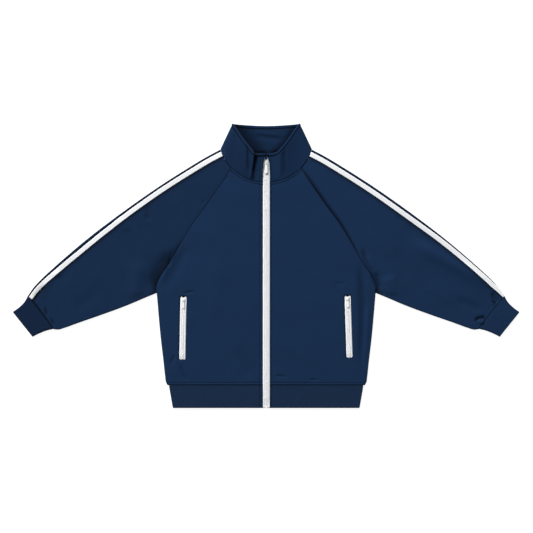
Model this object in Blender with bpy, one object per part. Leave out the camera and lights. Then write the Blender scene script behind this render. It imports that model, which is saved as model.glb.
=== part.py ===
"""A zip-front track jacket, laid flat on its back with its sleeves spread.

Tables are in millimetres and the scene is in metres. +X points to the wearer's left, +Y from the hem to
the collar, and +Z up from the surface that the back lies on. The origin is the middle of the jacket's
outline, at the height of that surface. Names that end in _right are the wearer's right, at -X.

Each cloth piece is a grid of points on the middle of its wall, which a Solidify modifier thickens. Pieces
that are sewn to each other end a seam gap apart. A fold or a side seam at the outline is a round that joins
the front layer to the back layer.
"""

import math

import bmesh
import bpy
import numpy as np

MM = 0.001

# Walls. The knit is one layer; the hem band, the cuffs and the collar are double.
KNIT = 1.6
RIB = 2.4
COLLAR = 2.6
SEAM_GAP = 0.3
FOLD_RADIUS = 2.3  # of a fold's mid wall, so that the layers of knit lie 3 mm apart
LAYER_RISE = 2 * FOLD_RADIUS  # from the back layer's mid wall to the front layer's

# Front opening and zip.
ZIP_HALF_WIDTH = 8.5  # from the zip's middle to the edge of each front
NECK_LIFT = 1.2  # the fronts rise this much to the neck seam, which the collar holds up
NECK_LIFT_REACH = 90.0
TAPE = 0.9
TAPE_EDGE = 16.0  # the tapes run this far from the zip's middle, under the fronts
TAPE_GAP = 0.4  # under the fronts
CHAIN_HALF_WIDTH = 3.0
CHAIN_HEIGHT = 2.0
ZIP_BOX_LENGTH = 8.0
ZIP_BOX_HEIGHT = 2.4
ZIP_TOP_Y = 262.0
MAIN_SLIDER_Y = 248.6
MAIN_CHAIN_REACH = 1.2  # the chain runs this far past the slider's middle

# Outlines as laid, for the wearer's left half: x outwards, y towards the collar.
SLEEVE_FOLD = (  # top of the sleeve, from the collar to the cuff
    (110.2, 279.0),
    (136.8, 265.0),
    (194.4, 230.5),
    (252.0, 193.8),
    (309.6, 154.2),
    (367.2, 112.4),
    (424.8, 68.3),
    (482.4, 20.0),
    (511.2, -5.6),
    (540.0, -32.4),
    (559.2, -53.4),
    (572.6, -72.8),
)
UNDERARM = (  # from the armpit to the cuff
    (262.8, -65.2),
    (280.8, -72.6),
    (338.4, -96.8),
    (396.0, -118.0),
    (453.6, -138.1),
    (484.0, -149.0),
    (499.0, -153.2),
    (511.2, -152.0),
)
SIDE_SEAM = (  # from the armpit to the hem band
    (262.8, -65.2),
    (258.4, -118.0),
    (253.2, -173.4),
    (246.5, -231.0),
    (242.4, -268.0),
    (240.6, -280.0),
    (236.8, -286.4),
)
RAGLAN_FRONT = (  # from the neck seam to the armpit
    (83.0, 235.0),
    (110.0, 193.0),
    (142.0, 147.0),
    (180.0, 95.0),
    (208.0, 48.0),
    (234.0, 3.0),
    (254.0, -27.0),
    (262.8, -48.0),
    (262.8, -65.2),
)
RAGLAN_BACK = (
    (92.0, 272.4),
    (120.0, 214.0),
    (160.0, 136.0),
    (206.0, 50.0),
    (246.0, -24.0),
    (260.0, -50.0),
    (262.8, -65.2),
)
NECK_FRONT = (  # from the zip to the raglan seam
    (ZIP_HALF_WIDTH, 200.6),
    (20.0, 202.3),
    (34.4, 205.8),
    (49.7, 212.0),
    (66.0, 221.8),
    (83.0, 235.0),
)
NECK_BACK = (  # from the middle of the back to the raglan seam
    (0.0, 265.0),
    (30.0, 265.6),
    (60.0, 268.0),
    (92.0, 272.4),
)
NECK_BOW = 2.6  # how far the sleeve's end bows towards the cuff along the neck seam
CUFF_BOW = {-1: 0.6, 1: 1.0}  # how far each cuff seam bows towards the elbow
BOW_REACH = 0.12  # share of the sleeve's length over which its ends bow
HEM_Y = -286.4
BAND_BOTTOM_Y = -341.4
BAND_HALF_WIDTHS = ((-341.4, 224.2), (-320.0, 228.0), (-300.0, 231.6), (-286.7, 233.4))

# Cuff edges, from the seam to the hand end.
CUFF_TOP_EDGE = ((572.6, -72.8), (580.0, -86.0), (592.0, -98.6), (608.4, -110.8))
CUFF_LOWER_EDGE = ((511.2, -152.0), (526.0, -155.4), (544.8, -162.6), (561.4, -170.8))
ARMPIT_CROSS = (391.0, 94.0)  # the fold's point that lies straight across the sleeve from the armpit

# Largest folds of the front layer. side: 1 is the wearer's left, -1 the right. x is outwards. Each runs from
# start to end, drawn towards bend. height is above the flat cloth, or below it in a trough.
FOLDS = (  # side, start, bend, end, half width, height
    (1, (222, 12), (238, -75), (226, -280), 8, -1.7),  # trough beside the pocket
    (1, (248, -75), (246, -150), (238, -250), 9, 1.3),
    (1, (258, -14), (265, -40), (274, -62), 8, -1.6),  # armpit
    (1, (290, -20), (300, -50), (300, -80), 16, 1.6),
    (1, (332, 63), (440, 12), (556, -56), 18, 2.4),  # long ridge of the sleeve
    (1, (320, 108), (400, 52), (490, -6), 11, -1.0),
    (1, (541, -62), (549, -78), (560, -92), 6, -1.4),  # gathers at the cuff
    (1, (508, -138), (518, -134), (526, -140), 7, 1.8),
    (-1, (188, 52), (212, 4), (246, -66), 12, -1.0),  # trough across the side of the front
    (-1, (214, 48), (238, 0), (256, -50), 7, 1.0),
    (-1, (238, 30), (262, -10), (292, -72), 15, -1.2),  # armpit
    (-1, (300, 20), (315, -40), (310, -88), 18, 1.5),
    (-1, (528, -44), (547, -61), (561, -83), 7, -1.2),  # crease under the sleeve tape
    (-1, (514, -36), (532, -58), (548, -86), 7, 0.4),
    (-1, (72, -186), (50, -232), (30, -272), 13, -0.7),
)
FOLD_SAMPLES = 14
FADE = 16.0  # folds die away within this distance of the outline

# The collar's stations, from the zip round the neck and back to the zip. Each has its point on the neck seam
# and its point on the top edge. The wearer's right front doubles under itself beside the zip.
COLLAR_RIGHT_FRONT = (
    ((-8.7, 200.6, 7.1), (-8.7, 269.4, 9.0)),
    ((-17.0, 201.8, 7.1), (-20.0, 269.2, 8.7)),
    ((-25.0, 203.4, 7.2), (-31.0, 268.6, 8.9)),
    ((-29.5, 204.6, 7.3), (-34.6, 268.8, 11.3)),
    ((-33.0, 205.4, 7.4), (-32.4, 269.6, 13.7)),
    ((-36.5, 206.5, 7.5), (-30.2, 270.8, 16.3)),
    ((-41.0, 208.2, 7.6), (-30.4, 274.6, 18.6)),
    ((-52.0, 213.1, 7.6), (-41.4, 288.4, 17.2)),
    ((-67.0, 222.5, 7.3), (-54.8, 306.0, 13.8)),
    ((-84.0, 236.0, 7.0), (-67.0, 324.2, 10.0)),
)
COLLAR_LEFT_FRONT = (
    ((84.0, 236.0, 7.0), (67.0, 325.4, 10.0)),
    ((67.0, 222.5, 7.2), (55.0, 307.0, 13.4)),
    ((52.0, 213.1, 7.2), (43.0, 290.8, 15.0)),
    ((41.0, 208.2, 6.9), (33.6, 280.2, 14.6)),
    ((31.0, 204.9, 6.9), (26.4, 273.6, 12.2)),
    ((20.0, 202.2, 7.1), (17.4, 270.2, 9.6)),
    ((8.7, 200.6, 7.1), (8.7, 269.4, 9.0)),
)
COLLAR_SIDE = (((101.5, 260.0, 6.6), (77.0, 338.2, 7.4)), ((108.6, 278.2, 3.9), (79.2, 341.2, 4.4)))
COLLAR_BACK = (((102.0, 275.4, 1.5), (75.0, 339.8, 1.5)), ((55.0, 267.4, 1.3), (42.0, 337.0, 1.3)))
COLLAR_BACK_MIDDLE = ((0.0, 265.0, 1.3), (0.0, 335.4, 1.3))
COLLAR_SEAM_CLEARANCE = 0.6
COLLAR_STEPS = 3  # columns between two stations
COLLAR_ROWS = (0.0, 0.08, 0.3, 0.5, 0.62, 0.72, 0.8, 0.86, 0.91, 1.0)
# Share up the collar, and the distance of its edges from the zip's middle: they draw together over the zip.
ZIP_COVER = ((0.3, 8.7), (0.62, 7.2), (0.72, 6.4), (0.8, 5.2), (0.86, 3.0), (0.91, 0.5), (1.0, 0.5))

# Pocket slots: the middle of the slot's top and bottom, outwards from the zip.
POCKETS = (  # side, name, top, bottom
    (-1, "right", (198.6, -73.6), (201.4, -225.2)),
    (1, "left", (195.3, -71.2), (200.3, -220.6)),
)
POCKET_SLOT_HALF_WIDTH = 7.4
POCKET_SLOT_CORNER = 3.0
POCKET_TAPE_OVERLAP = 4.0  # how far the tapes run under the slot's edges
POCKET_SLIDER_DROP = 8.0  # from the slot's top to the slider's middle
POCKET_CHAIN_REACH = 0.4  # the chain runs this far past the slider's middle
CHAIN_END = 0.5  # from the slot's bottom
SLOT_CUTTER = (-2.0, 6.0)  # below and above the zip's level

# Tape along the top of each sleeve, at shares of the sleeve: its width, and its outer edge's distance from
# the fold.
STRIPE = 0.6
STRIPE_WIDTHS = {-1: ((0.0, 11.2), (0.86, 11.2), (1.0, 9.2)), 1: ((0.0, 11.2), (0.95, 11.2), (1.0, 5.2))}
STRIPE_LIFT = 0.3
STRIPE_OFFSETS = {
    -1: ((0.0, 6.0), (0.3, 6.0), (0.45, 6.4), (0.65, 8.4), (0.72, 8.4), (0.88, 6.2), (1.0, 4.6)),
    1: ((0.0, 6.4), (0.45, 6.8), (0.52, 6.4), (0.7, 4.2), (0.88, 3.2), (0.95, 2.7), (0.97, 0.8), (1.0, 0.3)),
}

# Sliders: half width, half length, plate, and the pull's half width and length. The pull hangs from a bridge on
# the slider's upper plate.
MAIN_SLIDER = (4.5, 6.2, 1.1, 3.2, 27.0)
POCKET_SLIDER = (4.0, 5.4, 1.0, 2.7, 20.0)
LOWER_PLATE = 0.5
BRIDGE_CLEAR = 2.2  # under the bridge
BRIDGE_BAR = 1.0
BRIDGE_HALF_WIDTH = 1.0
BRIDGE_SINK = 0.3  # its feet start this far inside the upper plate
BRIDGE_LEG = 1.1
BRIDGE_CHAMFER = 0.5
BRIDGE_SETBACK = 1.4  # from the slider's lower end to the bridge's lower leg
BRIDGE_SHORT = 2.0  # the upper leg stands this much nearer the middle
POST_SLIM = 0.6  # on each side, within the chain's width
POST_LENGTH = 3.8
POST_SETBACK = 0.8  # from the slider's upper end
SLIDER_CORNER = 1.8
SLIDER_TAPER = 0.9
PULL = 1.3
PULL_LIFT = 0.45  # between the slider and the pull
PULL_BAR = 1.3  # the part of the pull that passes under the bridge
PULL_CORNER = 1.0
HANG_SETBACK = 4.1  # from the slider's upper end, less the bridge's setback, to the pull's bar
EYE_ROOM = 0.5  # beside the bridge
EYE_REACH = 1.3  # below the bridge


# ---------------------------------------------------------------- shapes in numbers


def shares(points):
    """Each point's share of the length of the line through the points."""
    steps = np.linalg.norm(np.diff(points, axis=0), axis=1)
    length = np.concatenate([[0.0], np.cumsum(steps)])
    return length / length[-1]


def curve_at(points, places, t):
    """Points at the values t of a smooth curve that passes each of the points at its place."""
    slope = np.gradient(points, places, axis=0)
    i = np.clip(np.searchsorted(places, t, side="right") - 1, 0, len(places) - 2)
    h = (places[i + 1] - places[i])[:, None]
    q = ((t - places[i]) / (places[i + 1] - places[i]))[:, None]
    start = (1 + 2 * q) * (1 - q) ** 2 * points[i] + q * (1 - q) ** 2 * h * slope[i]
    end = q * q * (3 - 2 * q) * points[i + 1] - q * q * (1 - q) * h * slope[i + 1]
    return start + end


def smooth(rows, t):
    """Points at the shares t of a smooth curve through the rows."""
    points = np.array(rows, float)
    return curve_at(points, shares(points), np.asarray(t, float))


def ease(q):
    q = np.clip(q, 0.0, 1.0)
    return q * q * (3 - 2 * q)


def unit(v):
    return v / np.maximum(np.linalg.norm(v, axis=-1, keepdims=True), 1e-12)


def inward(line, inside):
    """For each point of a line in plan, the direction square to the line that leads towards inside."""
    along = unit(np.gradient(line, axis=0))
    across = np.stack([-along[:, 1], along[:, 0]], axis=1)
    towards = np.sum(across * (inside - line), axis=1, keepdims=True)
    return across * np.sign(towards)


def distance_to(line, x, y):
    """Distance in plan from each (x, y) to the line, and the share of the line that is nearest."""
    a, b = line[:-1], line[1:]
    d = b - a
    px, py = x[..., None] - a[:, 0], y[..., None] - a[:, 1]
    q = np.clip((px * d[:, 0] + py * d[:, 1]) / np.sum(d * d, axis=1), 0, 1)
    gap = np.hypot(px - q * d[:, 0], py - q * d[:, 1])
    nearest = np.argmin(gap, axis=-1)
    along = (nearest + np.take_along_axis(q, nearest[..., None], -1)[..., 0]) / len(a)
    return np.min(gap, axis=-1), along


OUTLINES = [smooth(rows, np.linspace(0, 1, 40)) for rows in (SLEEVE_FOLD, UNDERARM, SIDE_SEAM)]
ARMPIT = np.array(UNDERARM[0])


def fold_heights(x, y):
    """Height that the folds add at each point in plan."""
    added = np.zeros_like(x)
    t = np.linspace(0, 1, FOLD_SAMPLES)[:, None]
    for side, start, bend, end, half, height in FOLDS:
        a, b, c = (np.array(p, float) for p in (start, bend, end))
        line = (1 - t) ** 2 * a + 2 * t * (1 - t) * b + t * t * c
        gap, along = distance_to(line, x * side, y)
        ends = ease(along / 0.3) * ease((1 - along) / 0.3)
        added += height * ends * np.exp(-((gap / half) ** 2))
    return added


def relief(x, y):
    """Height of the front layer above its flat level: the folds, and the lift at the neck."""
    gap = np.min([distance_to(line, np.abs(x), y)[0] for line in OUTLINES], axis=0)
    neck = smooth(NECK_FRONT, np.linspace(0, 1, 30))
    lift = NECK_LIFT * ease(1 - distance_to(neck, np.abs(x), y)[0] / NECK_LIFT_REACH)
    return (fold_heights(x, y) + lift) * ease((gap - FOLD_RADIUS) / FADE)


def front_level(x, y):
    """Height of the mid wall of the front layer of knit."""
    return KNIT / 2 + LAYER_RISE + relief(x, y)


# ---------------------------------------------------------------- pieces in Blender


def clear_scene():
    for obj in list(bpy.data.objects):
        bpy.data.objects.remove(obj)


def material(name, colour, roughness, metallic=0.0):
    made = bpy.data.materials.new(name)
    made.use_nodes = True
    shader = made.node_tree.nodes["Principled BSDF"]
    shader.inputs["Base Color"].default_value = (*colour, 1.0)
    shader.inputs["Roughness"].default_value = roughness
    shader.inputs["Metallic"].default_value = metallic
    return made


def link(name, mesh, finish):
    mesh.materials.append(finish)
    obj = bpy.data.objects.new(name, mesh)
    bpy.context.scene.collection.objects.link(obj)
    return obj


def cloth(name, grid, wall, finish, ring=False):
    """A piece of cloth: the grid's mid wall, thickened evenly to both sides. A ring closes along its rows."""
    rows, columns = grid.shape[:2]
    faces = []
    for i in range(rows - 1):
        for j in range(columns if ring else columns - 1):
            k = (j + 1) % columns
            faces.append((i * columns + j, i * columns + k, (i + 1) * columns + k, (i + 1) * columns + j))
    mesh = bpy.data.meshes.new(name)
    mesh.from_pydata([tuple(point) for point in grid.reshape(-1, 3) * MM], [], faces)
    mesh.shade_smooth()
    obj = link(name, mesh, finish)
    solid = obj.modifiers.new("wall", "SOLIDIFY")
    solid.thickness = wall * MM
    solid.offset = 0.0
    return obj


def turned(grid, side):
    """The grid for one side of the jacket: the wearer's left is drawn, and the right is its mirror image."""
    return grid * np.array([side, 1.0, 1.0])


# ---------------------------------------------------------------- edges of the knit


ARC = np.array([0.0, 0.25, 0.8, math.pi / 2])  # from a seam at the outline, inwards
RIM_LEAN = 0.12  # more gap at the outline, where the rims lean
RIM_TURN = 1.3  # how soon, towards the armpit, a flat seam's rim has become a rim at the outline
TUCK_REACH = 16.0  # from the armpit
INSIDE_BODY = np.array([60.0, 60.0])
INSIDE_BAND = np.array([0.0, -310.0])
CUFF_SEAM_SHARE = 0.9  # of the seam gap, on each side of the slanting cuff seam


def seamed_edge(edge, inside, tuck):
    """Rows of plan points that lead in from a seam, and how far each drops towards the other layer.

    Where tuck is 1 the seam lies on the outline and the layer turns down to it in a quarter round. Where tuck
    is 0 it is a flat seam within the front or the back.
    """
    direction = inward(edge, inside)
    inset = SEAM_GAP / 2 + KNIT / 2 * np.minimum(RIM_TURN * np.sin(tuck * math.pi / 2), 1.0)
    round_reach = tuck[:, None] * (1 - np.cos(ARC))[None, :]
    flat_reach = (1 - tuck)[:, None] * (ARC / ARC[-1])[None, :]
    reach = inset[:, None] + FOLD_RADIUS * (round_reach + flat_reach)
    plan = edge[:, None] + direction[:, None] * reach[..., None]
    low = SEAM_GAP / 2 + RIM_LEAN
    drop = tuck[:, None] * (FOLD_RADIUS * (1 - np.sin(ARC)) - low * np.cos(ARC))[None, :]
    return plan, drop


def armpit_tuck(edge):
    """1 at the armpit, fading to 0 up a raglan seam."""
    return ease(1 - np.linalg.norm(edge - ARMPIT, axis=1) / TUCK_REACH)


def between(start, end, count):
    """count plan points between each two points of two lines, without their ends."""
    q = np.arange(1, count + 1) / (count + 1)
    return start[:, None] + (end - start)[:, None] * q[None, :, None]


# ---------------------------------------------------------------- body


SIDE_ROWS = np.array([0, 0.02, 0.06, 0.14, 0.22, 0.31, 0.4, 0.49, 0.58, 0.67, 0.76, 0.85, 0.93, 1.0])
RAGLAN_ROWS = np.array([0, 0.03, 0.08, 0.16, 0.26, 0.36, 0.46, 0.56, 0.66, 0.76, 0.86, 0.94, 1.0])
COLUMN_BIAS = 0.82  # below 1, the columns lie closer towards the side
NECK_ROWS_START = 0.84  # above this share of the side, the rows bend to the neck seam
FRONT_COLUMNS = 17
BACK_COLUMNS = 7


def body_half(raglan, neck, columns):
    """Plan points of half a body panel, from its middle edge to its side, and the drop of each."""
    side = smooth(SIDE_SEAM[::-1], SIDE_ROWS)
    up = smooth(raglan[::-1], RAGLAN_ROWS)[1:]
    edge = np.concatenate([side, up])
    tuck = np.concatenate([np.ones(len(side)), armpit_tuck(up)])
    plan, drop = seamed_edge(edge, INSIDE_BODY, tuck)
    hem = HEM_Y + SEAM_GAP / 2
    share = shares(edge)[:, None, None]
    across = (np.arange(columns) / columns) ** COLUMN_BIAS
    top = smooth(neck, across)
    top[:, 1] -= SEAM_GAP / 2
    plan[-1, :, 1] -= SEAM_GAP / 2
    plan[0, :, 1] = hem
    q = across[None, :, None]
    middle = np.stack([np.full(len(edge), top[0, 0]), hem + (top[0, 1] - hem) * share[:, 0, 0]], axis=1)
    flat = middle[:, None] + (plan[:, -1] - middle)[:, None] * q
    # The top row follows the neck seam, and the rows below it come back to straight lines.
    near = ease((share - NECK_ROWS_START) / (1 - NECK_ROWS_START))
    flat += (top - flat[-1])[None] * near
    points = np.concatenate([flat, plan[:, ::-1]], axis=1)
    drops = np.concatenate([np.zeros(flat.shape[:2]), drop[:, ::-1]], axis=1)
    return points, drops


def front_panel(side, name, finish):
    plan, drop = body_half(RAGLAN_FRONT, NECK_FRONT, FRONT_COLUMNS)
    z = front_level(plan[..., 0] * side, plan[..., 1]) - drop
    return cloth(name, turned(np.dstack([plan, z]), side), KNIT, finish)


def back_panel(finish):
    plan, drop = body_half(RAGLAN_BACK, NECK_BACK, BACK_COLUMNS)
    left = np.dstack([plan, KNIT / 2 + drop])
    right = turned(left, -1)[:, :0:-1]
    return cloth("back", np.concatenate([right, left], axis=1), KNIT, finish)


# ---------------------------------------------------------------- sleeves


CAP_ROWS = (1 - RAGLAN_ROWS[::-1])[:-1]
ARM_ROWS = np.array([0, 0.04, 0.1, 0.2, 0.3, 0.4, 0.5, 0.6, 0.7, 0.78, 0.85, 0.91, 0.96, 1.0])


def sleeve_lines(raglan):
    """The lower edge of one layer of the sleeve, the fold above it, and the edge's tuck at the outline."""
    fold = smooth(SLEEVE_FOLD, np.linspace(0, 1, 400))
    cross = np.argmin(np.linalg.norm(fold - np.array(ARMPIT_CROSS), axis=1)) / 399
    edge = np.concatenate([smooth(raglan, CAP_ROWS), smooth(UNDERARM, ARM_ROWS)])
    top = smooth(SLEEVE_FOLD, np.concatenate([CAP_ROWS * cross, cross + ARM_ROWS * (1 - cross)]))
    tuck = np.concatenate([armpit_tuck(edge[: len(CAP_ROWS)]), np.ones(len(ARM_ROWS))])
    return edge, top, tuck


def bowed(plan, top, edge, cuff_bow):
    """The sleeve's points with its ends drawn in from their seams and bowed to them."""
    share = shares(top)
    q = np.linalg.norm(plan - top[:, None], axis=2) / np.linalg.norm(edge - top, axis=1)[:, None]
    bow = 4 * np.clip(q, 0, 1) * (1 - np.clip(q, 0, 1))
    near_neck = ease(1 - share / BOW_REACH)[:, None]
    near_cuff = ease((share - 1) / BOW_REACH + 1)[:, None]
    shift = (NECK_BOW * bow + SEAM_GAP) * near_neck * (share < BOW_REACH)[:, None]
    shift -= (cuff_bow * bow + SEAM_GAP * CUFF_SEAM_SHARE) * near_cuff
    ends = unit(edge - top)
    across = np.where((share < 0.5)[:, None], ends[0], ends[-1])
    to_cuff = np.stack([-across[:, 1], across[:, 0]], axis=1)
    to_cuff *= np.sign(to_cuff[:, :1])
    return plan + shift[..., None] * to_cuff[:, None]


def along_tape(table, share):
    """A tape's measure at shares of the sleeve, from a table of shares and measures."""
    at, measure = np.array(table).T
    return np.interp(share, at, measure)


def sleeve_grid(side):
    """The sleeve's mid wall, and the columns that lie under its tape."""
    front_edge, top, front_tuck = sleeve_lines(RAGLAN_FRONT)
    back_edge, _, back_tuck = sleeve_lines(RAGLAN_BACK)
    core = (front_edge + top) / 2
    front, front_drop = seamed_edge(front_edge, core, front_tuck)
    back, back_drop = seamed_edge(back_edge, core, back_tuck)
    out = -inward(top, core)
    start = top - out * (KNIT / 2)

    def over_fold(arc):
        """Plan points and turn at distances round the wall from the outline; below 0 is the back layer."""
        angle = np.clip(arc / FOLD_RADIUS, -math.pi / 2, math.pi / 2)
        reach = FOLD_RADIUS * (1 - np.cos(angle)) + np.abs(arc) - np.abs(angle) * FOLD_RADIUS
        return start[:, None] - out[:, None] * reach[..., None], angle

    share = shares(top)
    first, width = (along_tape(rows[side], share)[:, None] for rows in (STRIPE_OFFSETS, STRIPE_WIDTHS))
    taped = first + width * np.linspace(0, 1, 5)[None, :]
    quarter = FOLD_RADIUS * math.pi / 2
    lead = first * np.array([0.0, 0.5])[None, :]
    under = np.ones_like(first) * (-quarter * np.array([1.0, 0.67, 0.33]))[None, :]
    round_plan, angle = over_fold(np.concatenate([under, lead, taped], axis=1))
    upper = between(front[:, -1], round_plan[:, -1], 8)
    lower = between(round_plan[:, 0], back[:, -1], 6)
    over = np.concatenate([front, upper], axis=1)
    over_z = front_level(over[..., 0] * side, over[..., 1])
    over_z[:, : len(ARC)] -= front_drop
    round_z = KNIT / 2 + FOLD_RADIUS * (1 + np.sin(angle))
    round_z += relief(round_plan[..., 0] * side, round_plan[..., 1])
    plan = np.concatenate([over, round_plan[:, ::-1], lower, back[:, ::-1]], axis=1)
    lower_z = np.full(lower.shape[:2], KNIT / 2)
    z = np.concatenate([over_z, round_z[:, ::-1], lower_z, KNIT / 2 + back_drop[:, ::-1]], axis=1)
    first_taped = over.shape[1]
    grid = np.dstack([bowed(plan, top, front_edge, CUFF_BOW[side]), z])
    return grid, slice(first_taped, first_taped + taped.shape[1])


def sleeve_and_tape(side, suffix, knit, tape):
    grid, taped = sleeve_grid(side)
    cloth("sleeve_" + suffix, turned(grid, side), KNIT, knit)
    down = np.gradient(grid, axis=0)
    across = np.gradient(grid, axis=1)
    normal = unit(np.cross(down, across))
    normal *= np.sign(normal[:, grid.shape[1] // 3, 2])[:, None, None]
    lifted = grid + normal * (KNIT / 2 + STRIPE_LIFT + STRIPE / 2)
    cloth("sleeve_tape_" + suffix, turned(lifted[:, taped], side), STRIPE, tape)


# ---------------------------------------------------------------- cuffs, hem band and collar


def folded_edge(line, inside, steps):
    """Plan points round a fold of the rib at the outline, from the back layer to the front, and their rise."""
    direction = inward(line, inside)
    angle = np.linspace(-math.pi / 2, math.pi / 2, steps)
    start = line + direction * (RIB / 2)
    plan = start[:, None] + direction[:, None] * (FOLD_RADIUS * (1 - np.cos(angle)))[None, :, None]
    rise = np.ones((len(line), 1)) * (RIB / 2 + FOLD_RADIUS * (1 + np.sin(angle)))
    return plan, rise


def rib_level(plan, layer):
    """Heights of the rib's mid wall: layer 0 is the back, 1 the front."""
    return np.full(plan.shape[:2], RIB / 2 + LAYER_RISE * layer)


def cuff(side, name, finish):
    rows = np.array([0, 0.1, 0.4, 0.72, 1.0])
    top, lower = smooth(CUFF_TOP_EDGE, rows), smooth(CUFF_LOWER_EDGE, rows)
    core = (top + lower) / 2
    upper_fold, upper_rise = folded_edge(top, core, 7)
    lower_fold, lower_rise = folded_edge(lower, core, 7)
    front = between(lower_fold[:, -1], upper_fold[:, -1], 8)
    back = between(upper_fold[:, 0], lower_fold[:, 0], 6)
    plan = np.concatenate([front, upper_fold[:, ::-1], back, lower_fold], axis=1)
    z = [rib_level(front, 1), upper_rise[:, ::-1], rib_level(back, 0), lower_rise]
    seam = unit(top[0] - lower[0])
    to_hand = np.array([seam[1], -seam[0]])
    q = np.clip((plan - lower[0]) @ seam / np.linalg.norm(top[0] - lower[0]), 0, 1)
    shift = (SEAM_GAP * CUFF_SEAM_SHARE - CUFF_BOW[side] * 4 * q * (1 - q)) * (1 - rows)[:, None]
    plan = plan + shift[..., None] * to_hand
    return cloth(name, turned(np.dstack([plan, np.concatenate(z, axis=1)]), side), RIB, finish, ring=True)


def hem_band(finish):
    """The band round the hem, open at the zip: front, side fold, back, side fold, front."""
    y = np.array([HEM_Y - SEAM_GAP, -289.5, -305.0, -323.0, BAND_BOTTOM_Y])
    table = np.array(BAND_HALF_WIDTHS)
    edge = np.stack([np.interp(y, table[:, 0], table[:, 1]), y], axis=1)
    fold, rise = folded_edge(edge, INSIDE_BAND, 7)
    fold[..., 1] = y[:, None]
    middle = np.stack([np.full(len(y), ZIP_HALF_WIDTH), y], axis=1)
    centre = np.stack([np.zeros(len(y)), y], axis=1)
    front = np.concatenate([middle[:, None], between(middle, fold[:, -1], 8)], axis=1)
    back = np.concatenate([between(fold[:, 0], centre, 3), centre[:, None]], axis=1)
    plan = np.concatenate([front, fold[:, ::-1], back], axis=1)
    z = np.concatenate([rib_level(front, 1), rise[:, ::-1], rib_level(back, 0)], axis=1)
    left = np.dstack([plan, z])
    right = turned(left, -1)[:, -2::-1]
    return cloth("hem_band", np.concatenate([left, right], axis=1), RIB, finish)


def collar_stations():
    """All the stations, from the wearer's right of the zip to the left. The sides and back are symmetrical."""
    side_and_back = np.array(COLLAR_SIDE + COLLAR_BACK, float)
    right = side_and_back * np.array([-1.0, 1.0, 1.0])
    return np.concatenate(
        [COLLAR_RIGHT_FRONT, right, [COLLAR_BACK_MIDDLE], side_and_back[::-1], COLLAR_LEFT_FRONT]
    )


def collar(finish):
    stations = collar_stations()
    places = np.arange(len(stations), dtype=float)
    t = np.linspace(0, places[-1], COLLAR_STEPS * (len(stations) - 1) + 1)
    seam, edge = (curve_at(stations[:, k], places, t) for k in (0, 1))
    rows = np.array(COLLAR_ROWS)
    grid = seam[None] * (1 - rows)[:, None, None] + edge[None] * rows[:, None, None]
    grid[0] += unit(edge - seam) * COLLAR_SEAM_CLEARANCE
    grid[..., 2] = np.maximum(grid[..., 2], COLLAR / 2)
    # Over the top of the zip the two edges draw together, and the columns beside them follow.
    cover = np.array(ZIP_COVER)
    edge_x = np.interp(rows, cover[:, 0], cover[:, 1])
    for columns in (slice(0, COLLAR_STEPS), slice(-1, -COLLAR_STEPS - 1, -1)):
        weight = 1 - np.arange(COLLAR_STEPS) / COLLAR_STEPS
        x = grid[:, columns, 0]
        grid[:, columns, 0] = x + np.sign(x[:, :1]) * (edge_x[:, None] - np.abs(x[:, :1])) * weight
    return cloth("collar", grid, COLLAR, finish)


# ---------------------------------------------------------------- zips


def prism(work, outline, low, high, axis="z"):
    """A closed prism over an outline in millimetres: (x, y) swept along z, or (y, z) swept along x."""
    rings = []
    for end in (low, high):
        if axis == "z":
            points = [(a * MM, b * MM, end * MM) for a, b in outline]
        else:
            points = [(end * MM, a * MM, b * MM) for a, b in outline]
        rings.append([work.verts.new(point) for point in points])
    work.faces.new(rings[0][::-1])
    work.faces.new(rings[1])
    for j in range(len(outline)):
        k = (j + 1) % len(outline)
        work.faces.new((rings[0][j], rings[0][k], rings[1][k], rings[1][j]))
    bmesh.ops.recalc_face_normals(work, faces=work.faces)


def prism_mesh(name, outline, low, high, axis="z"):
    mesh = bpy.data.meshes.new(name)
    work = bmesh.new()
    prism(work, outline, low, high, axis)
    work.to_mesh(mesh)
    work.free()
    return mesh


def box(a_low, a_high, b_low, b_high):
    return ((a_low, b_low), (a_high, b_low), (a_high, b_high), (a_low, b_high))


def rounded(half_width, y_low, y_high, radius, steps=4, taper=0.0):
    """Outline of a rounded rectangle. taper narrows each side by that much towards y_low."""
    points = []
    for quarter in range(4):
        cx = (half_width - radius) * (1 if quarter in (0, 3) else -1)
        cy = y_high - radius if quarter in (0, 1) else y_low + radius
        for step in range(steps + 1):
            angle = (quarter + step / steps) * math.pi / 2
            x, y = cx + radius * math.cos(angle), cy + radius * math.sin(angle)
            narrow = taper * (y_high - y) / (y_high - y_low)
            points.append((x * (1 - narrow / half_width), y))
    return points


def placed(obj, place, turn):
    obj.location = [value * MM for value in place]
    obj.rotation_euler = (0.0, 0.0, turn)
    return obj


def shaped(name, mesh, finish, place, turn, joined=(), cut=()):
    """An object whose mesh is joined with, or cut by, helper meshes in its own frame."""
    obj = placed(link(name, mesh, finish), place, turn)
    for operation, helpers in (("UNION", joined), ("DIFFERENCE", cut)):
        for shape in helpers:
            tool = placed(link(name + "_helper", shape, finish), place, turn)
            tool.hide_render = True
            tool.display_type = "WIRE"
            change = obj.modifiers.new(operation.lower(), "BOOLEAN")
            change.operation = operation
            change.object = tool
    return obj


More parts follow.
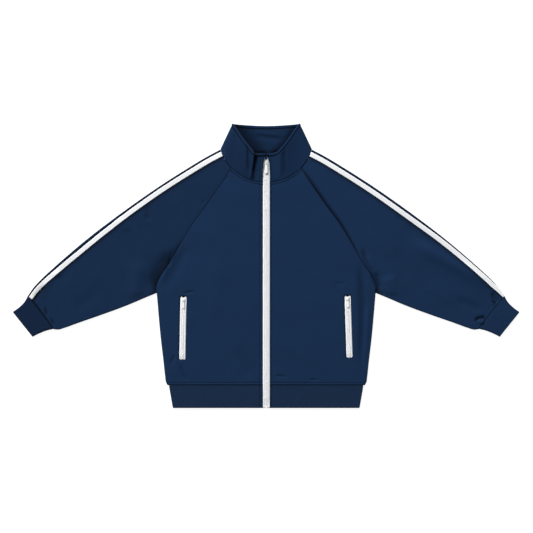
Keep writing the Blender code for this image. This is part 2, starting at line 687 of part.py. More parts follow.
def slider_and_pull(suffix, size, place, turn, enamel):
    """place is the middle of the chain's height under the slider's middle; turn slants it with its zip."""
    half_width, half_length, plate, pull_half_width, pull_length = size
    under = CHAIN_HEIGHT / 2 + SEAM_GAP
    top = under + plate
    outline = rounded(half_width, -half_length, half_length, SLIDER_CORNER, taper=SLIDER_TAPER)
    post_end = half_length - POST_SETBACK
    post_half_width = CHAIN_HALF_WIDTH - POST_SLIM
    post = box(-post_half_width, post_half_width, post_end - POST_LENGTH, post_end)
    foot = half_length - BRIDGE_SETBACK
    head = foot - BRIDGE_SHORT
    start = under + BRIDGE_SINK
    arch_low = top + BRIDGE_CLEAR
    arch_high = arch_low + BRIDGE_BAR
    bridge = (
        (-foot, start),
        (-foot, arch_high - BRIDGE_CHAMFER),
        (-foot + BRIDGE_CHAMFER, arch_high),
        (head - BRIDGE_CHAMFER, arch_high),
        (head, arch_high - BRIDGE_CHAMFER),
        (head, start),
        (head - BRIDGE_LEG, start),
        (head - BRIDGE_LEG, arch_low),
        (-foot + BRIDGE_LEG, arch_low),
        (-foot + BRIDGE_LEG, start),
    )
    lower = prism_mesh("lower_plate", outline, -under - LOWER_PLATE, -under)
    column = prism_mesh("post", post, -under - LOWER_PLATE / 2, under + plate / 2)
    arch = prism_mesh("bridge", bridge, -BRIDGE_HALF_WIDTH, BRIDGE_HALF_WIDTH, axis="x")
    upper = prism_mesh("zip_slider" + suffix, outline, under, top)
    shaped("zip_slider" + suffix, upper, enamel, place, turn, joined=(column, lower, arch))
    hang_y = foot - HANG_SETBACK
    eye = rounded(BRIDGE_HALF_WIDTH + EYE_ROOM, -foot - EYE_REACH, hang_y - PULL_BAR / 2, EYE_ROOM, steps=2)
    tab = rounded(pull_half_width, hang_y - pull_length, hang_y + PULL_BAR / 2, PULL_CORNER, steps=3)
    low = top + PULL_LIFT
    tab_mesh = prism_mesh("zip_pull" + suffix, tab, low, low + PULL)
    eye_mesh = prism_mesh("pull_eye", eye, low - EYE_ROOM, low + PULL + EYE_ROOM)
    shaped("zip_pull" + suffix, tab_mesh, enamel, place, turn, cut=(eye_mesh,))


def strip(name, x_low, x_high, half_height, y, z, finish, place=(0.0, 0.0, 0.0), turn=0.0):
    """A strip along y between x_low and x_high, half_height above and below the heights z."""
    corners = ((x_low, -1), (x_high, -1), (x_high, 1), (x_low, 1))
    mesh = bpy.data.meshes.new(name)
    work = bmesh.new()
    rings = []
    for row_y, row_z in zip(y, z):
        points = [(x * MM, row_y * MM, (row_z + up * half_height) * MM) for x, up in corners]
        rings.append([work.verts.new(point) for point in points])
    for a, b in zip(rings, rings[1:]):
        for j in range(4):
            k = (j + 1) % 4
            work.faces.new((a[j], a[k], b[k], b[j]))
    work.faces.new(rings[0][::-1])
    work.faces.new(rings[-1])
    bmesh.ops.recalc_face_normals(work, faces=work.faces)
    work.to_mesh(mesh)
    work.free()
    return placed(link(name, mesh, finish), place, turn)


def zip_level(y):
    """Mid height of the front zip's tapes, under the band, the fronts and the collar."""
    body = front_level(np.full_like(y, ZIP_HALF_WIDTH), y) - KNIT / 2
    seam, edge = COLLAR_LEFT_FRONT[-1]
    neck = np.interp(y, [seam[1], edge[1]], [seam[2], edge[2]]) - COLLAR / 2
    return np.where(y < NECK_FRONT[0][1], np.minimum(body, neck), neck) - TAPE_GAP - TAPE / 2


def front_zip(white, enamel):
    rows = np.array([HEM_Y, 104.0, 120.0, 136.0, 152.0, 168.0, 184.0, 200.6, 225.0])
    y = np.array([BAND_BOTTOM_Y, *rows, ZIP_TOP_Y])
    inner = CHAIN_HALF_WIDTH + SEAM_GAP
    strip("zip_tape_left", inner, TAPE_EDGE, TAPE / 2, y, zip_level(y), white)
    strip("zip_tape_right", -TAPE_EDGE, -inner, TAPE / 2, y, zip_level(y), white)
    box_top = BAND_BOTTOM_Y + ZIP_BOX_LENGTH
    y = np.array([box_top + SEAM_GAP, *rows, MAIN_SLIDER_Y + MAIN_CHAIN_REACH])
    strip("zip_chain", -CHAIN_HALF_WIDTH, CHAIN_HALF_WIDTH, CHAIN_HEIGHT / 2, y, zip_level(y), white)
    y = np.array([BAND_BOTTOM_Y, box_top])
    strip("zip_box", -CHAIN_HALF_WIDTH, CHAIN_HALF_WIDTH, ZIP_BOX_HEIGHT / 2, y, zip_level(y), enamel)
    place = (0.0, MAIN_SLIDER_Y, float(zip_level(np.array([MAIN_SLIDER_Y]))[0]))
    slider_and_pull("", MAIN_SLIDER, place, 0.0, enamel)


def pocket_place(side, top, bottom):
    """The middle of the slot's top, the turn that slants it, and its length."""
    run = np.array([(top[0] - bottom[0]) * side, top[1] - bottom[1]])
    level = LAYER_RISE - TAPE_GAP - TAPE / 2
    return (top[0] * side, top[1], level), math.atan2(-run[0], run[1]), float(np.linalg.norm(run))


def cut_pocket(front, side, top, bottom, finish):
    place, turn, length = pocket_place(side, top, bottom)
    outline = rounded(POCKET_SLOT_HALF_WIDTH, -length, 0.0, POCKET_SLOT_CORNER)
    slot = placed(link("pocket_slot", prism_mesh("pocket_slot", outline, *SLOT_CUTTER), finish), place, turn)
    slot.hide_render = True
    slot.display_type = "WIRE"
    change = front.modifiers.new("pocket", "BOOLEAN")
    change.operation = "DIFFERENCE"
    change.object = slot


def pocket_zip(side, suffix, top, bottom, white, enamel):
    place, turn, length = pocket_place(side, top, bottom)
    y = np.array([-length - POCKET_TAPE_OVERLAP, POCKET_TAPE_OVERLAP])
    level = np.zeros(2)
    inner = CHAIN_HALF_WIDTH + SEAM_GAP
    outer = POCKET_SLOT_HALF_WIDTH + POCKET_TAPE_OVERLAP
    for name, towards in (("outer", side), ("inner", -side)):
        low, high = sorted((inner * towards, outer * towards))
        strip(f"pocket_tape_{name}_{suffix}", low, high, TAPE / 2, y, level, white, place, turn)
    y = np.array([-length + CHAIN_END, -POCKET_SLIDER_DROP + POCKET_CHAIN_REACH])
    half = CHAIN_HALF_WIDTH
    strip(f"pocket_chain_{suffix}", -half, half, CHAIN_HEIGHT / 2, y, level, white, place, turn)
    drop = (math.sin(turn) * POCKET_SLIDER_DROP, -math.cos(turn) * POCKET_SLIDER_DROP)
    middle = (place[0] + drop[0], place[1] + drop[1], place[2])
    slider_and_pull(f"_pocket_{suffix}", POCKET_SLIDER, middle, turn, enamel)


def main():
    clear_scene()
    knit = material("navy_knit", (0.010, 0.021, 0.066), 0.85)
    rib = material("navy_rib", (0.008, 0.017, 0.052), 0.9)
    white = material("white_tape", (0.78, 0.79, 0.80), 0.7)
    enamel = material("white_enamel", (0.72, 0.73, 0.74), 0.35)
    back_panel(knit)
    fronts = {-1: front_panel(-1, "front_right", knit), 1: front_panel(1, "front_left", knit)}
    for side, suffix in ((-1, "right"), (1, "left")):
        sleeve_and_tape(side, suffix, knit, white)
        cuff(side, "cuff_" + suffix, rib)
    hem_band(rib)
    collar(knit)
    front_zip(white, enamel)
    for side, suffix, top, bottom in POCKETS:
        cut_pocket(fronts[side], side, top, bottom, knit)
        pocket_zip(side, suffix, top, bottom, white, enamel)


main()
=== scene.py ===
"""Looks of a zip-front track jacket that lies flat on its back with its sleeves spread.

Tables are in millimetres and pieces are made in metres, in the frame's own axes: +X to the wearer's left,
+Y from the hem to the collar, +Z up. Names that end in _right are the wearer's right, at -X. Each cloth piece
is a fine grid on the middle of its wall, with the creases, seam lines and rolled edges that the solids leave
out. Shade and highlights are also painted into the cloth's colour, through a UV layer of painted shade.
"""

import math

import bpy
import numpy as np
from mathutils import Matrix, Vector
from mathutils.bvhtree import BVHTree


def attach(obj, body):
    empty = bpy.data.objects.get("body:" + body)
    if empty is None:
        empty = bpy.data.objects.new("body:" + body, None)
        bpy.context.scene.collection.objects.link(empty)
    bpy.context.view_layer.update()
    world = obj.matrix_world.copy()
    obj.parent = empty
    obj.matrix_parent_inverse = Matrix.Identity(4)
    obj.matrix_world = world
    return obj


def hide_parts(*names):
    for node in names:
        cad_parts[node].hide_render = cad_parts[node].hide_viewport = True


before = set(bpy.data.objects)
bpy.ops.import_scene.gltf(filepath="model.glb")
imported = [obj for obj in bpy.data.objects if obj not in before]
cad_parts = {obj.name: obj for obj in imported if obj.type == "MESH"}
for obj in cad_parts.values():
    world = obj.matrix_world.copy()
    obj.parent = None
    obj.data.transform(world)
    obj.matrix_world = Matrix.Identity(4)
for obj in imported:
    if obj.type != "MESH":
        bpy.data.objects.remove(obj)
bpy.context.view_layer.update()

MM = 0.001
SIDES = ((-1, "right"), (1, "left"))  # of the wearer

# Walls and levels, as in the solids but for SEAM_GAP.
KNIT = 1.6
RIB = 2.4
COLLAR = 2.6
SEAM_GAP = -0.2  # sewn pieces meet here, a little over each other
FOLD_RADIUS = 2.3
LAYER_RISE = 2 * FOLD_RADIUS
ZIP_HALF_WIDTH = 8.5
NECK_LIFT = 1.2
NECK_LIFT_REACH = 90.0
TAPE = 0.9
TAPE_EDGE = 16.0
TAPE_GAP = 0.4
CHAIN_HALF_WIDTH = 3.0
CHAIN_CLEARANCE = 0.1  # between the chain and its tapes
ZIP_BOX_LENGTH = 8.0
ZIP_TOP_Y = 262.0
MAIN_SLIDER_Y = 248.6

# Outlines as laid, as in the solids, for the wearer's left half: x outwards, y towards the collar.
SLEEVE_FOLD = (
    (110.2, 279.0), (136.8, 265.0), (194.4, 230.5), (252.0, 193.8), (309.6, 154.2), (367.2, 112.4),
    (424.8, 68.3), (482.4, 20.0), (511.2, -5.6), (540.0, -32.4), (559.2, -53.4), (572.6, -72.8),
)
UNDERARM = (
    (262.8, -65.2), (280.8, -72.6), (338.4, -96.8), (396.0, -118.0), (453.6, -138.1), (484.0, -149.0),
    (499.0, -153.2), (511.2, -152.0),
)
SIDE_SEAM = (
    (262.8, -65.2), (258.4, -118.0), (253.2, -173.4), (246.5, -231.0), (242.4, -268.0), (240.6, -280.0),
    (236.8, -286.4),
)
RAGLAN_FRONT = (
    (83.0, 235.0), (110.0, 193.0), (142.0, 147.0), (180.0, 95.0), (208.0, 48.0), (234.0, 3.0),
    (254.0, -27.0), (262.8, -48.0), (262.8, -65.2),
)
RAGLAN_BACK = (
    (92.0, 272.4), (120.0, 214.0), (160.0, 136.0), (206.0, 50.0), (246.0, -24.0), (260.0, -50.0),
    (262.8, -65.2),
)
NECK_FRONT = (
    (ZIP_HALF_WIDTH, 200.6), (20.0, 202.3), (34.4, 205.8), (49.7, 212.0), (66.0, 221.8), (83.0, 235.0),
)
NECK_BACK = ((0.0, 265.0), (30.0, 265.6), (60.0, 268.0), (92.0, 272.4))
NECK_BOW = 2.6
CUFF_BOW = {-1: 0.6, 1: 1.0}
BOW_REACH = 0.12
HEM_Y = -286.4
BAND_BOTTOM_Y = -341.4
BAND_HALF_WIDTHS = ((-341.4, 224.2), (-320.0, 228.0), (-300.0, 231.6), (-286.7, 233.4))
CUFF_TOP_EDGE = ((572.6, -72.8), (580.0, -86.0), (592.0, -98.6), (608.4, -110.8))
CUFF_LOWER_EDGE = ((511.2, -152.0), (526.0, -155.4), (544.8, -162.6), (561.4, -170.8))
ARMPIT_CROSS = (391.0, 94.0)  # the point of the fold that lies across from the armpit
FADE = 16.0

# Painted shade that darkens one side or the other, and painted light off each cuff seam: -1 is the wearer's
# right, 1 the left.
CUFF_SHADE = {-1: 0.36, 1: 0.0}
SLEEVE_SHADE = {-1: 0.14, 1: 0.0}
CUFF_SEAM_LIGHT = {-1: 0.1, 1: 0.3}  # painted highlight on the sleeve, just off the seam

# Folds of the front layer, as in the solids, and then the finer creases. Each row: the side, the start, a
# point that the line is drawn towards, the end, half the width, and the height, below 0 in a trough.
FOLD_GAIN = 2.0  # folds stand out more than in the solids
FOLDS = (
    (1, (222, 12), (238, -75), (226, -280), 8, -1.7),
    (1, (248, -75), (246, -150), (238, -250), 9, 1.3),
    (1, (258, -14), (265, -40), (274, -62), 8, -1.6),
    (1, (290, -20), (300, -50), (300, -80), 16, 1.6),
    (1, (332, 63), (440, 12), (556, -56), 18, 2.4),
    (1, (320, 108), (400, 52), (490, -6), 11, -1.0),
    (1, (541, -62), (549, -78), (560, -92), 6, -1.4),
    (1, (508, -138), (518, -134), (526, -140), 7, 1.8),
    (-1, (188, 52), (212, 4), (246, -66), 12, -1.0),
    (-1, (214, 48), (238, 0), (256, -50), 7, 1.0),
    (-1, (238, 30), (262, -10), (292, -72), 15, -1.2),
    (-1, (300, 20), (315, -40), (310, -88), 18, 1.5),
    (-1, (528, -44), (547, -61), (561, -83), 7, -1.2),
    (-1, (514, -36), (532, -58), (548, -86), 7, 0.4),
    (-1, (72, -186), (50, -232), (30, -272), 13, -0.7),
)
CREASES = (
    (1, (229, 46), (240, 10), (255, -24), 4.5, -1.5),
    (1, (242, 30), (256, 0), (270, -30), 7, 0.9),
    (1, (250, 2), (259, -26), (266, -56), 4, -1.3),
    (1, (165, -44), (176, -37), (190, -48), 4, -0.5),
    (1, (22, -266), (34, -261), (50, -270), 3, -0.8),
    (1, (102, -277), (113, -270), (124, -277), 2.6, -0.8),
    (1, (309, 123), (340, 104), (369, 75), 12, -0.9),
    (1, (452, -81), (490, -90), (525, -110), 10, -0.9),
    (1, (540, -87), (545, -90), (549, -95), 2.6, 0.6),
    (1, (499, -133), (511, -121), (530, -124), 4, -1.2),
    (1, (505, -137), (511, -131), (517, -134), 3, 0.5),
    (1, (300, 40), (330, 10), (345, -40), 16, -0.7),
    (1, (380, -40), (420, -60), (450, -96), 14, 0.7),
    (-1, (198, -69), (187, -60), (172, -64), 2.6, -0.9),
    (-1, (207, -232), (203, -264), (184, -278), 3, -0.8),
    (-1, (219, -213), (226, -226), (229, -242), 3.5, -0.9),
    (-1, (227, 40), (228, 16), (237, -6), 3.5, -1.3),
    (-1, (98, 203), (94, 209), (91, 218), 2.2, -0.7),
    (-1, (155, 146), (152, 152), (149, 160), 2.2, -0.6),
    (-1, (556, -86), (539, -60), (521, -43), 2.8, 0.7),
    (-1, (531, -97), (529, -110), (527, -122), 3.5, -0.7),
    (-1, (518, -124), (513, -134), (508, -143), 3.5, -0.6),
    (-1, (507, -13), (501, -20), (494, -29), 7, 0.9),
    (-1, (364, 117), (346, 98), (326, 82), 10, 0.9),
    (-1, (284, 148), (282, 126), (285, 105), 8, -0.8),
    (-1, (400, -60), (430, -84), (470, -104), 13, -0.4),
    (-1, (110, 20), (130, -60), (120, -140), 22, 0.5),
)
DARKS = (  # where the cloth is pinched: like a fold, but its last number is painted shade, below 0 painted light
    (-1, (561, -89), (547, -63), (522, -43), 3.2, 1.1),
    (-1, (556, -90), (540, -64), (517, -41), 1.9, -0.45),
    (-1, (531, -99), (529, -112), (526, -124), 3.0, 0.35),
    (-1, (518, -126), (513, -134), (508, -142), 3.0, 0.3),
    (1, (539, -82), (546, -87), (552, -92), 2.6, 0.8),
    (1, (538, -66), (543, -72), (547, -82), 5.0, 0.25),
    (1, (498, -136), (508, -121), (529, -125), 3.4, 0.8),
    (1, (506, -138), (512, -131), (519, -135), 2.4, -0.3),
    (1, (538, -87), (543, -93), (548, -96), 1.8, -0.3),
    (1, (527, -120), (522, -130), (519, -142), 3.0, 0.45),
)
BACK_CREASES = (
    (1, (60, 190), (120, 60), (190, -40), 14, 0.5),
    (-1, (70, 180), (130, 40), (200, -30), 12, 0.5),
    (1, (60, -230), (100, -250), (150, -272), 7, 0.5),
    (-1, (40, -240), (80, -262), (120, -270), 6, 0.4),
    (1, (250, 60), (300, 10), (330, -60), 14, 0.5),
    (-1, (270, 70), (320, 20), (340, -50), 12, 0.5),
    (1, (500, -40), (520, -70), (530, -120), 6, 0.6),
    (-1, (490, -30), (515, -66), (536, -110), 6, 0.6),
)
FOLD_SAMPLES = 14
NARROW_FOLD = 7.0  # wider folds than this have less painted shade
# Painted shade in the troughs of the front layer.
CAVITY_SHADE = 0.3
CAVITY_DEPTH = 1.5  # where a trough has that painted shade
DEEPEST = 2.6  # no trough sinks below this
FOLD_END = 0.3  # share of a fold's length over which it fades at each end
EDGE_LEFT = 0.06  # square of the share of a wall that is left at its rounded edge
SWELLS = (  # slow unevenness of the whole front layer: wavelength, direction in degrees, height
    (150.0, 20.0, 0.16),
    (96.0, 105.0, 0.12),
    (62.0, 62.0, 0.08),
    (41.0, 150.0, 0.05),
)

# Seams and sewing.
SEAM_FALL = 1.0  # the cloth turns down to a flat seam by this much
SEAM_REACH = 1.9
# Share down the raglan seam, and how deep the sleeve's edge lies below the body's. The left has sunk in.
RAGLAN_DIP = {
    -1: ((0.0, 0.3), (0.6, 0.4), (0.8, 1.2), (1.0, 1.8)),
    1: ((0.0, 0.8), (0.05, 2.0), (0.12, 2.6), (0.5, 2.5), (0.62, 2.0), (0.75, 1.6), (0.86, 2.4), (1.0, 2.6)),
}
DIP_REACH = 12.0
# Share down the raglan seam, painted shade of the sleeve against the seam, and how far the shade reaches.
RAGLAN_SHADE = {
    -1: (
        (0.0, 0.3, 4), (0.59, 0.32, 4), (0.68, 0.5, 18), (0.76, 0.62, 44), (0.94, 0.66, 44), (1.0, 0.5, 38),
        (1.06, 0.0, 30),
    ),
    1: (
        (0.0, 0.3, 8), (0.06, 0.6, 12), (0.15, 0.8, 14), (0.4, 0.82, 13), (0.59, 0.8, 10), (0.7, 0.55, 6),
        (0.8, 0.45, 5), (0.86, 0.7, 12), (0.92, 0.9, 22), (1.0, 0.9, 24), (1.05, 0.0, 20),
    ),
}
RAGLAN_RISE = {
    -1: ((0.0, 0.0), (1.0, 0.0)),
    1: ((0.0, 0.2), (0.1, 1.2), (0.5, 1.2), (0.8, 0.6), (1.0, 0.6)),
}
RISE_REACH = 42.0
HEM_FALL = 1.5
HEM_REACH = 2.8
LIP_FALL = 1.0
LIP_REACH = 2.4
ZIP_EDGE_FALL = 0.8
ZIP_EDGE_REACH = 2.2
BULGE_HALF_WIDTH = 5.4
ZIP_BULGE = 1.2  # between the cloth's edges the tapes rise this much above the solids
RAGLAN_SHARE = {-1: 1.0, 1: 0.6}  # of the fall towards a flat seam
HEM_STITCH = 5.8
NECK_STITCH = 6.2
PLACKET_STITCH = {-1: 6.1, 1: 4.9}
COLLAR_STITCH = 7.6
COLLAR_ROLL = 1.6  # how much more its sewn strip stands out than the others
STRIP_RISE = 0.34
STITCH_DITCH = 0.5
DITCH_HALF_WIDTH = 1.0
# STRIP_LIGHT is a painted highlight on the roll of a sewn strip.
STRIP_LIGHT = 0.1
ROLL_CROWN = 0.55  # where the painted highlight on the strip is lightest, and half its width, as shares of the strip
ROLL_HALF_WIDTH = 0.3
EDGE_LINE = 1.7  # half widths of the lines of painted shade
STITCH_LINE = 1.5
FLAT_SEAM_LINE = 1.3
THREAD_PITCH = 3.1
THREAD_LENGTH = 2.6
THREAD = 0.24  # radius
FINE_THREAD = 0.2
STITCH_STEP = 1.5  # a stitch isn't made where the cloth steps by more than this

# Collar stations, as in the solids: each is a point of the seam and one of the free edge.
COLLAR_RIGHT_FRONT = (
    ((-8.7, 200.6, 7.1), (-8.7, 269.4, 9.0)),
    ((-17.0, 201.8, 7.1), (-20.0, 269.2, 8.7)),
    ((-25.0, 203.4, 7.2), (-31.0, 268.6, 8.9)),
    ((-29.5, 204.6, 7.3), (-34.6, 268.8, 11.3)),
    ((-33.0, 205.4, 7.4), (-32.4, 269.6, 13.7)),
    ((-36.5, 206.5, 7.5), (-30.2, 270.8, 16.3)),
    ((-41.0, 208.2, 7.6), (-30.4, 274.6, 18.6)),
    ((-52.0, 213.1, 7.6), (-41.4, 288.4, 17.2)),
    ((-67.0, 222.5, 7.3), (-54.8, 306.0, 13.8)),
    ((-84.0, 236.0, 7.0), (-67.0, 324.2, 10.0)),
)
COLLAR_LEFT_FRONT = (
    ((84.0, 236.0, 7.0), (67.0, 325.4, 10.0)),
    ((67.0, 222.5, 7.2), (55.0, 307.0, 13.4)),
    ((52.0, 213.1, 7.2), (43.0, 290.8, 15.0)),
    ((41.0, 208.2, 6.9), (33.6, 280.2, 14.6)),
    ((31.0, 204.9, 6.9), (26.4, 273.6, 12.2)),
    ((20.0, 202.2, 7.1), (17.4, 270.2, 9.6)),
    ((8.7, 200.6, 7.1), (8.7, 269.4, 9.0)),
)
COLLAR_SIDE = (((101.5, 260.0, 6.6), (77.0, 338.2, 7.4)), ((108.6, 278.2, 3.9), (79.2, 341.2, 4.4)))
COLLAR_BACK = (((102.0, 275.4, 1.5), (75.0, 339.8, 1.5)), ((55.0, 267.4, 1.3), (42.0, 337.0, 1.3)))
COLLAR_BACK_MIDDLE = ((0.0, 265.0, 1.3), (0.0, 335.4, 1.3))
COLLAR_SEAM_CLEARANCE = -0.5
COLLAR_STEPS = 10
COLLAR_HEIGHT = 70.0
COLLAR_STAND = 6.0  # its free edge is this much higher than in the solid
ZIP_COVER = ((0.3, 8.7), (0.62, 7.2), (0.72, 6.4), (0.8, 5.2), (0.86, 3.0), (0.91, 0.5), (1.0, 0.5))

# Pocket slots, as in the solids: the middle of the top and of the bottom, x outwards.
POCKETS = {-1: ((198.6, -73.6), (201.4, -225.2)), 1: ((195.3, -71.2), (200.3, -220.6))}
POCKET_SLOT_HALF_WIDTH = 7.4
POCKET_SLOT_CORNER = 3.0
POCKET_TAPE_OVERLAP = 4.0
POCKET_SLIDER_DROP = 8.0
POCKET_STITCH = 1.9

# Sleeve tapes: share of the fold's length, and the tape's width or its distance from the fold's outline. On
# the wearer's left the tape turns over the fold before the cuff, sooner than in the solid.
STRIPE = 0.6
STRIPE_WIDTH = 11.2
STRIPE_LIFT = 0.12
STRIPE_WIDTHS = {
    -1: ((0.0, 11.2), (0.86, 11.2), (1.0, 9.2)),
    1: ((0.0, 11.2), (0.88, 11.2), (0.95, 10.4), (0.97, 8.6), (1.0, 5.2)),
}
STRIPE_OFFSETS = {
    -1: ((0.0, 6.0), (0.3, 6.0), (0.45, 6.4), (0.65, 8.4), (0.72, 8.4), (0.88, 6.2), (1.0, 4.6)),
    1: (
        (0.0, 6.4), (0.45, 6.8), (0.52, 6.4), (0.7, 4.2), (0.88, 3.2), (0.93, 2.7), (0.95, 1.5), (0.97, 0.8),
        (1.0, 0.3),
    ),
}

# Photograph: 533 pixels a side, 2.4 mm to the pixel, taken straight down.
FRAME_WIDTH = 533 * 2.4
FRAME_CENTRE = (0.8, -1.7)
FRAME_HEIGHT = 6.0  # the level at which the frame has that width
LENS = 135.0
SENSOR = 36.0

# Light: azimuth and elevation in degrees, distance and size in metres, power.
KEY_LIGHT = (118.0, 33.0, 10.0, 3.0, 1560.0)
AMBIENT = 0.27
FLOOR_ALBEDO = 0.3
FLOOR_GLOW = 0.9


# ---------------------------------------------------------------- numbers


def at(table, share, column=1):
    """A column of a table at each share, straight between its rows."""
    rows = np.array(table, float)
    return np.interp(share, rows[:, 0], rows[:, column])


def shares(points):
    """Each point's share of the length of the line through the points."""
    steps = np.linalg.norm(np.diff(points, axis=0), axis=1)
    length = np.concatenate([[0.0], np.cumsum(steps)])
    return length / length[-1]


def curve_at(points, places, t):
    """Points at the values t of a smooth curve that passes each of the points at its place."""
    slope = np.gradient(points, places, axis=0)
    i = np.clip(np.searchsorted(places, t, side="right") - 1, 0, len(places) - 2)
    h = (places[i + 1] - places[i])[:, None]
    q = ((t - places[i]) / (places[i + 1] - places[i]))[:, None]
    start = (1 + 2 * q) * (1 - q) ** 2 * points[i] + q * (1 - q) ** 2 * h * slope[i]
    end = q * q * (3 - 2 * q) * points[i + 1] - q * q * (1 - q) * h * slope[i + 1]
    return start + end


def smooth(rows, t):
    """Points at the shares t of a smooth curve through the rows."""
    points = np.array(rows, float)
    return curve_at(points, shares(points), np.asarray(t, float))


def ease(q):
    q = np.clip(q, 0.0, 1.0)
    return q * q * (3 - 2 * q)


def unit(v):
    return v / np.maximum(np.linalg.norm(v, axis=-1, keepdims=True), 1e-12)


def inward(line, inside):
    """For each point of a line in plan, the direction square to the line that leads towards inside."""
    along = unit(np.gradient(line, axis=0))
    across = np.stack([-along[:, 1], along[:, 0]], axis=1)
    towards = np.sum(across * (inside - line), axis=1, keepdims=True)
    return across * np.sign(towards)


def distance_to(line, x, y):
    """Distance in plan from each (x, y) to the line, and the share of the line that is nearest."""
    a, b = line[:-1], line[1:]
    d = b - a
    px, py = x[..., None] - a[:, 0], y[..., None] - a[:, 1]
    q = np.clip((px * d[:, 0] + py * d[:, 1]) / np.sum(d * d, axis=1), 0, 1)
    gap = np.hypot(px - q * d[:, 0], py - q * d[:, 1])
    nearest = np.argmin(gap, axis=-1)
    along = (nearest + np.take_along_axis(q, nearest[..., None], -1)[..., 0]) / len(a)
    return np.min(gap, axis=-1), along


def graded(length, step, low=(), high=()):
    """Shares of a length: the listed distances from each end, and equal steps between them."""
    start = [0.0, *low]
    end = [length - d for d in (*high[::-1], 0.0)]
    count = max(1, round((end[0] - start[-1]) / step))
    middle = np.linspace(start[-1], end[0], count + 1)[1:-1]
    return np.concatenate([start, middle, end]) / length


def between(start, end, count):
    """count plan points between each two points of two lines, without their ends."""
    q = np.arange(1, count + 1) / (count + 1)
    return start[:, None] + (end - start)[:, None] * q[None, :, None]


def travelled(grid, axis):
    """Distance along the cloth to each point of a grid, from the first row or column and from the last."""
    steps = np.linalg.norm(np.diff(grid, axis=axis), axis=2)
    start = np.zeros_like(np.take(steps, [0], axis=axis))
    length = np.concatenate([start, np.cumsum(steps, axis=axis)], axis=axis)
    return length, np.take(length, [-1], axis=axis) - length


def corners(values):
    """The values at the four corners of each quad of a grid."""
    return np.stack([values[:-1, :-1], values[:-1, 1:], values[1:, 1:], values[1:, :-1]], axis=-1)


def normals(grid, row, column, ring=False):
    """Unit normals of a grid, turned so that the one at (row, column) points up."""
    down = np.gradient(grid, axis=0)
    across = np.roll(grid, -1, axis=1) - np.roll(grid, 1, axis=1) if ring else np.gradient(grid, axis=1)
    normal = unit(np.cross(down, across))
    return normal * np.sign(normal[row, column, 2])


# ---------------------------------------------------------------- folds

OUTLINES = [smooth(rows, np.linspace(0, 1, 40)) for rows in (SLEEVE_FOLD, UNDERARM, SIDE_SEAM)]
NECK_LINE = smooth(NECK_FRONT, np.linspace(0, 1, 30))
ARMPIT = np.array(UNDERARM[0])


def fold_heights(table, x, y, narrow=None):
    """Height that a table of folds adds at each point in plan. Folds wider than narrow count for less."""
    added = np.zeros_like(x)
    t = np.linspace(0, 1, FOLD_SAMPLES)[:, None]
    for side, start, bend, end, half, height in table:
        a, b, c = (np.array(p, float) for p in (start, bend, end))
        line = (1 - t) ** 2 * a + 2 * t * (1 - t) * b + t * t * c
        gap, along = distance_to(line, x * side, y)
        ends = ease(along / FOLD_END) * ease((1 - along) / FOLD_END)
        weight = 1.0 if narrow is None else min(1.0, narrow / half) ** 2
        added += weight * height * ends * np.exp(-((gap / half) ** 2))
    return added


def swell(x, y):
    """Slow unevenness of cloth that was laid down and smoothed by hand."""
    added = np.zeros_like(x)
    for k, (wavelength, degrees, height) in enumerate(SWELLS):
        angle = math.radians(degrees)
        run = x * math.cos(angle) + y * math.sin(angle)
        side = x * math.sin(angle) - y * math.cos(angle)
        added += height * np.sin(2 * math.pi * run / wavelength + 1.7 * k + 1.3 * np.sin(side / wavelength))
    return added


def within_outline(x, y):
    """Distance in plan from where the fold at the outline ends."""
    return np.min([distance_to(line, np.abs(x), y)[0] for line in OUTLINES], axis=0) - FOLD_RADIUS


def neck_lift(x, y):
    """Rise of the fronts towards the collar."""
    return NECK_LIFT * ease(1 - distance_to(NECK_LINE, np.abs(x), y)[0] / NECK_LIFT_REACH)


def relief(x, y):
    """Height of the front layer above its flat level."""
    inside = within_outline(x, y)
    coarse = (FOLD_GAIN * fold_heights(FOLDS, x, y) + neck_lift(x, y) + swell(x, y)) * ease(inside / FADE)
    fine = FOLD_GAIN * fold_heights(CREASES, x, y) * ease(inside / (FADE / 3))
    return np.maximum(coarse + fine, -DEEPEST)


def cavity(x, y):
    """Painted shade of the front layer where folds sink it, with the painted shade and light of DARKS."""
    sunk = -(fold_heights(FOLDS, x, y, NARROW_FOLD) + fold_heights(CREASES, x, y, NARROW_FOLD))
    return CAVITY_SHADE * np.clip(sunk / CAVITY_DEPTH, 0, 2) + fold_heights(DARKS, x, y)


def front_level(x, y):
    """Height of the mid wall of the front layer of knit."""
    return KNIT / 2 + LAYER_RISE + relief(x, y)


def back_level(x, y):
    """Height of the mid wall of the back layer, which lies on the surface but for its few creases."""
    return KNIT / 2 + fold_heights(BACK_CREASES, x, y) * ease(within_outline(x, y) / FADE)


def fall(distance, depth, reach):
    """How far cloth turns down towards a seam."""
    return depth * (1 - ease(distance / reach)) ** 1.5


def ditch(distance):
    """How deep a line of stitches draws the outer face in, at a distance from it."""
    return STITCH_DITCH * np.exp(-((distance / DITCH_HALF_WIDTH) ** 2))


def rolled(distance, stitch):
    """Rise of the outer face over a sewn edge: a strip rolls up between the seam and its line of stitches."""
    return STRIP_RISE * np.sin(np.pi * np.clip(distance / stitch, 0, 1)) - ditch(distance - stitch)


def line_shade(distance, width, strength):
    """Painted shade along a seam or a line of stitches."""
    return strength * np.exp(-((distance / width) ** 2))


def strip_shade(distance, stitch, seam, sewn):
    """Painted shade over a topstitched edge: dark at the edge and at the stitches, with a painted highlight
    on the roll between.
    """
    dark = line_shade(distance, EDGE_LINE, seam) + line_shade(distance - stitch, STITCH_LINE, sewn)
    return dark - line_shade(distance - ROLL_CROWN * stitch, ROLL_HALF_WIDTH * stitch, STRIP_LIGHT)


def rounded(half_wall, *distances):
    """Half thickness of a wall with rounded edges, from the distance to each edge."""
    q = np.clip(1 - np.minimum.reduce(distances) / half_wall, 0, 1)
    return half_wall * np.sqrt(np.maximum(1 - q * q, EDGE_LEFT))


# ---------------------------------------------------------------- meshes


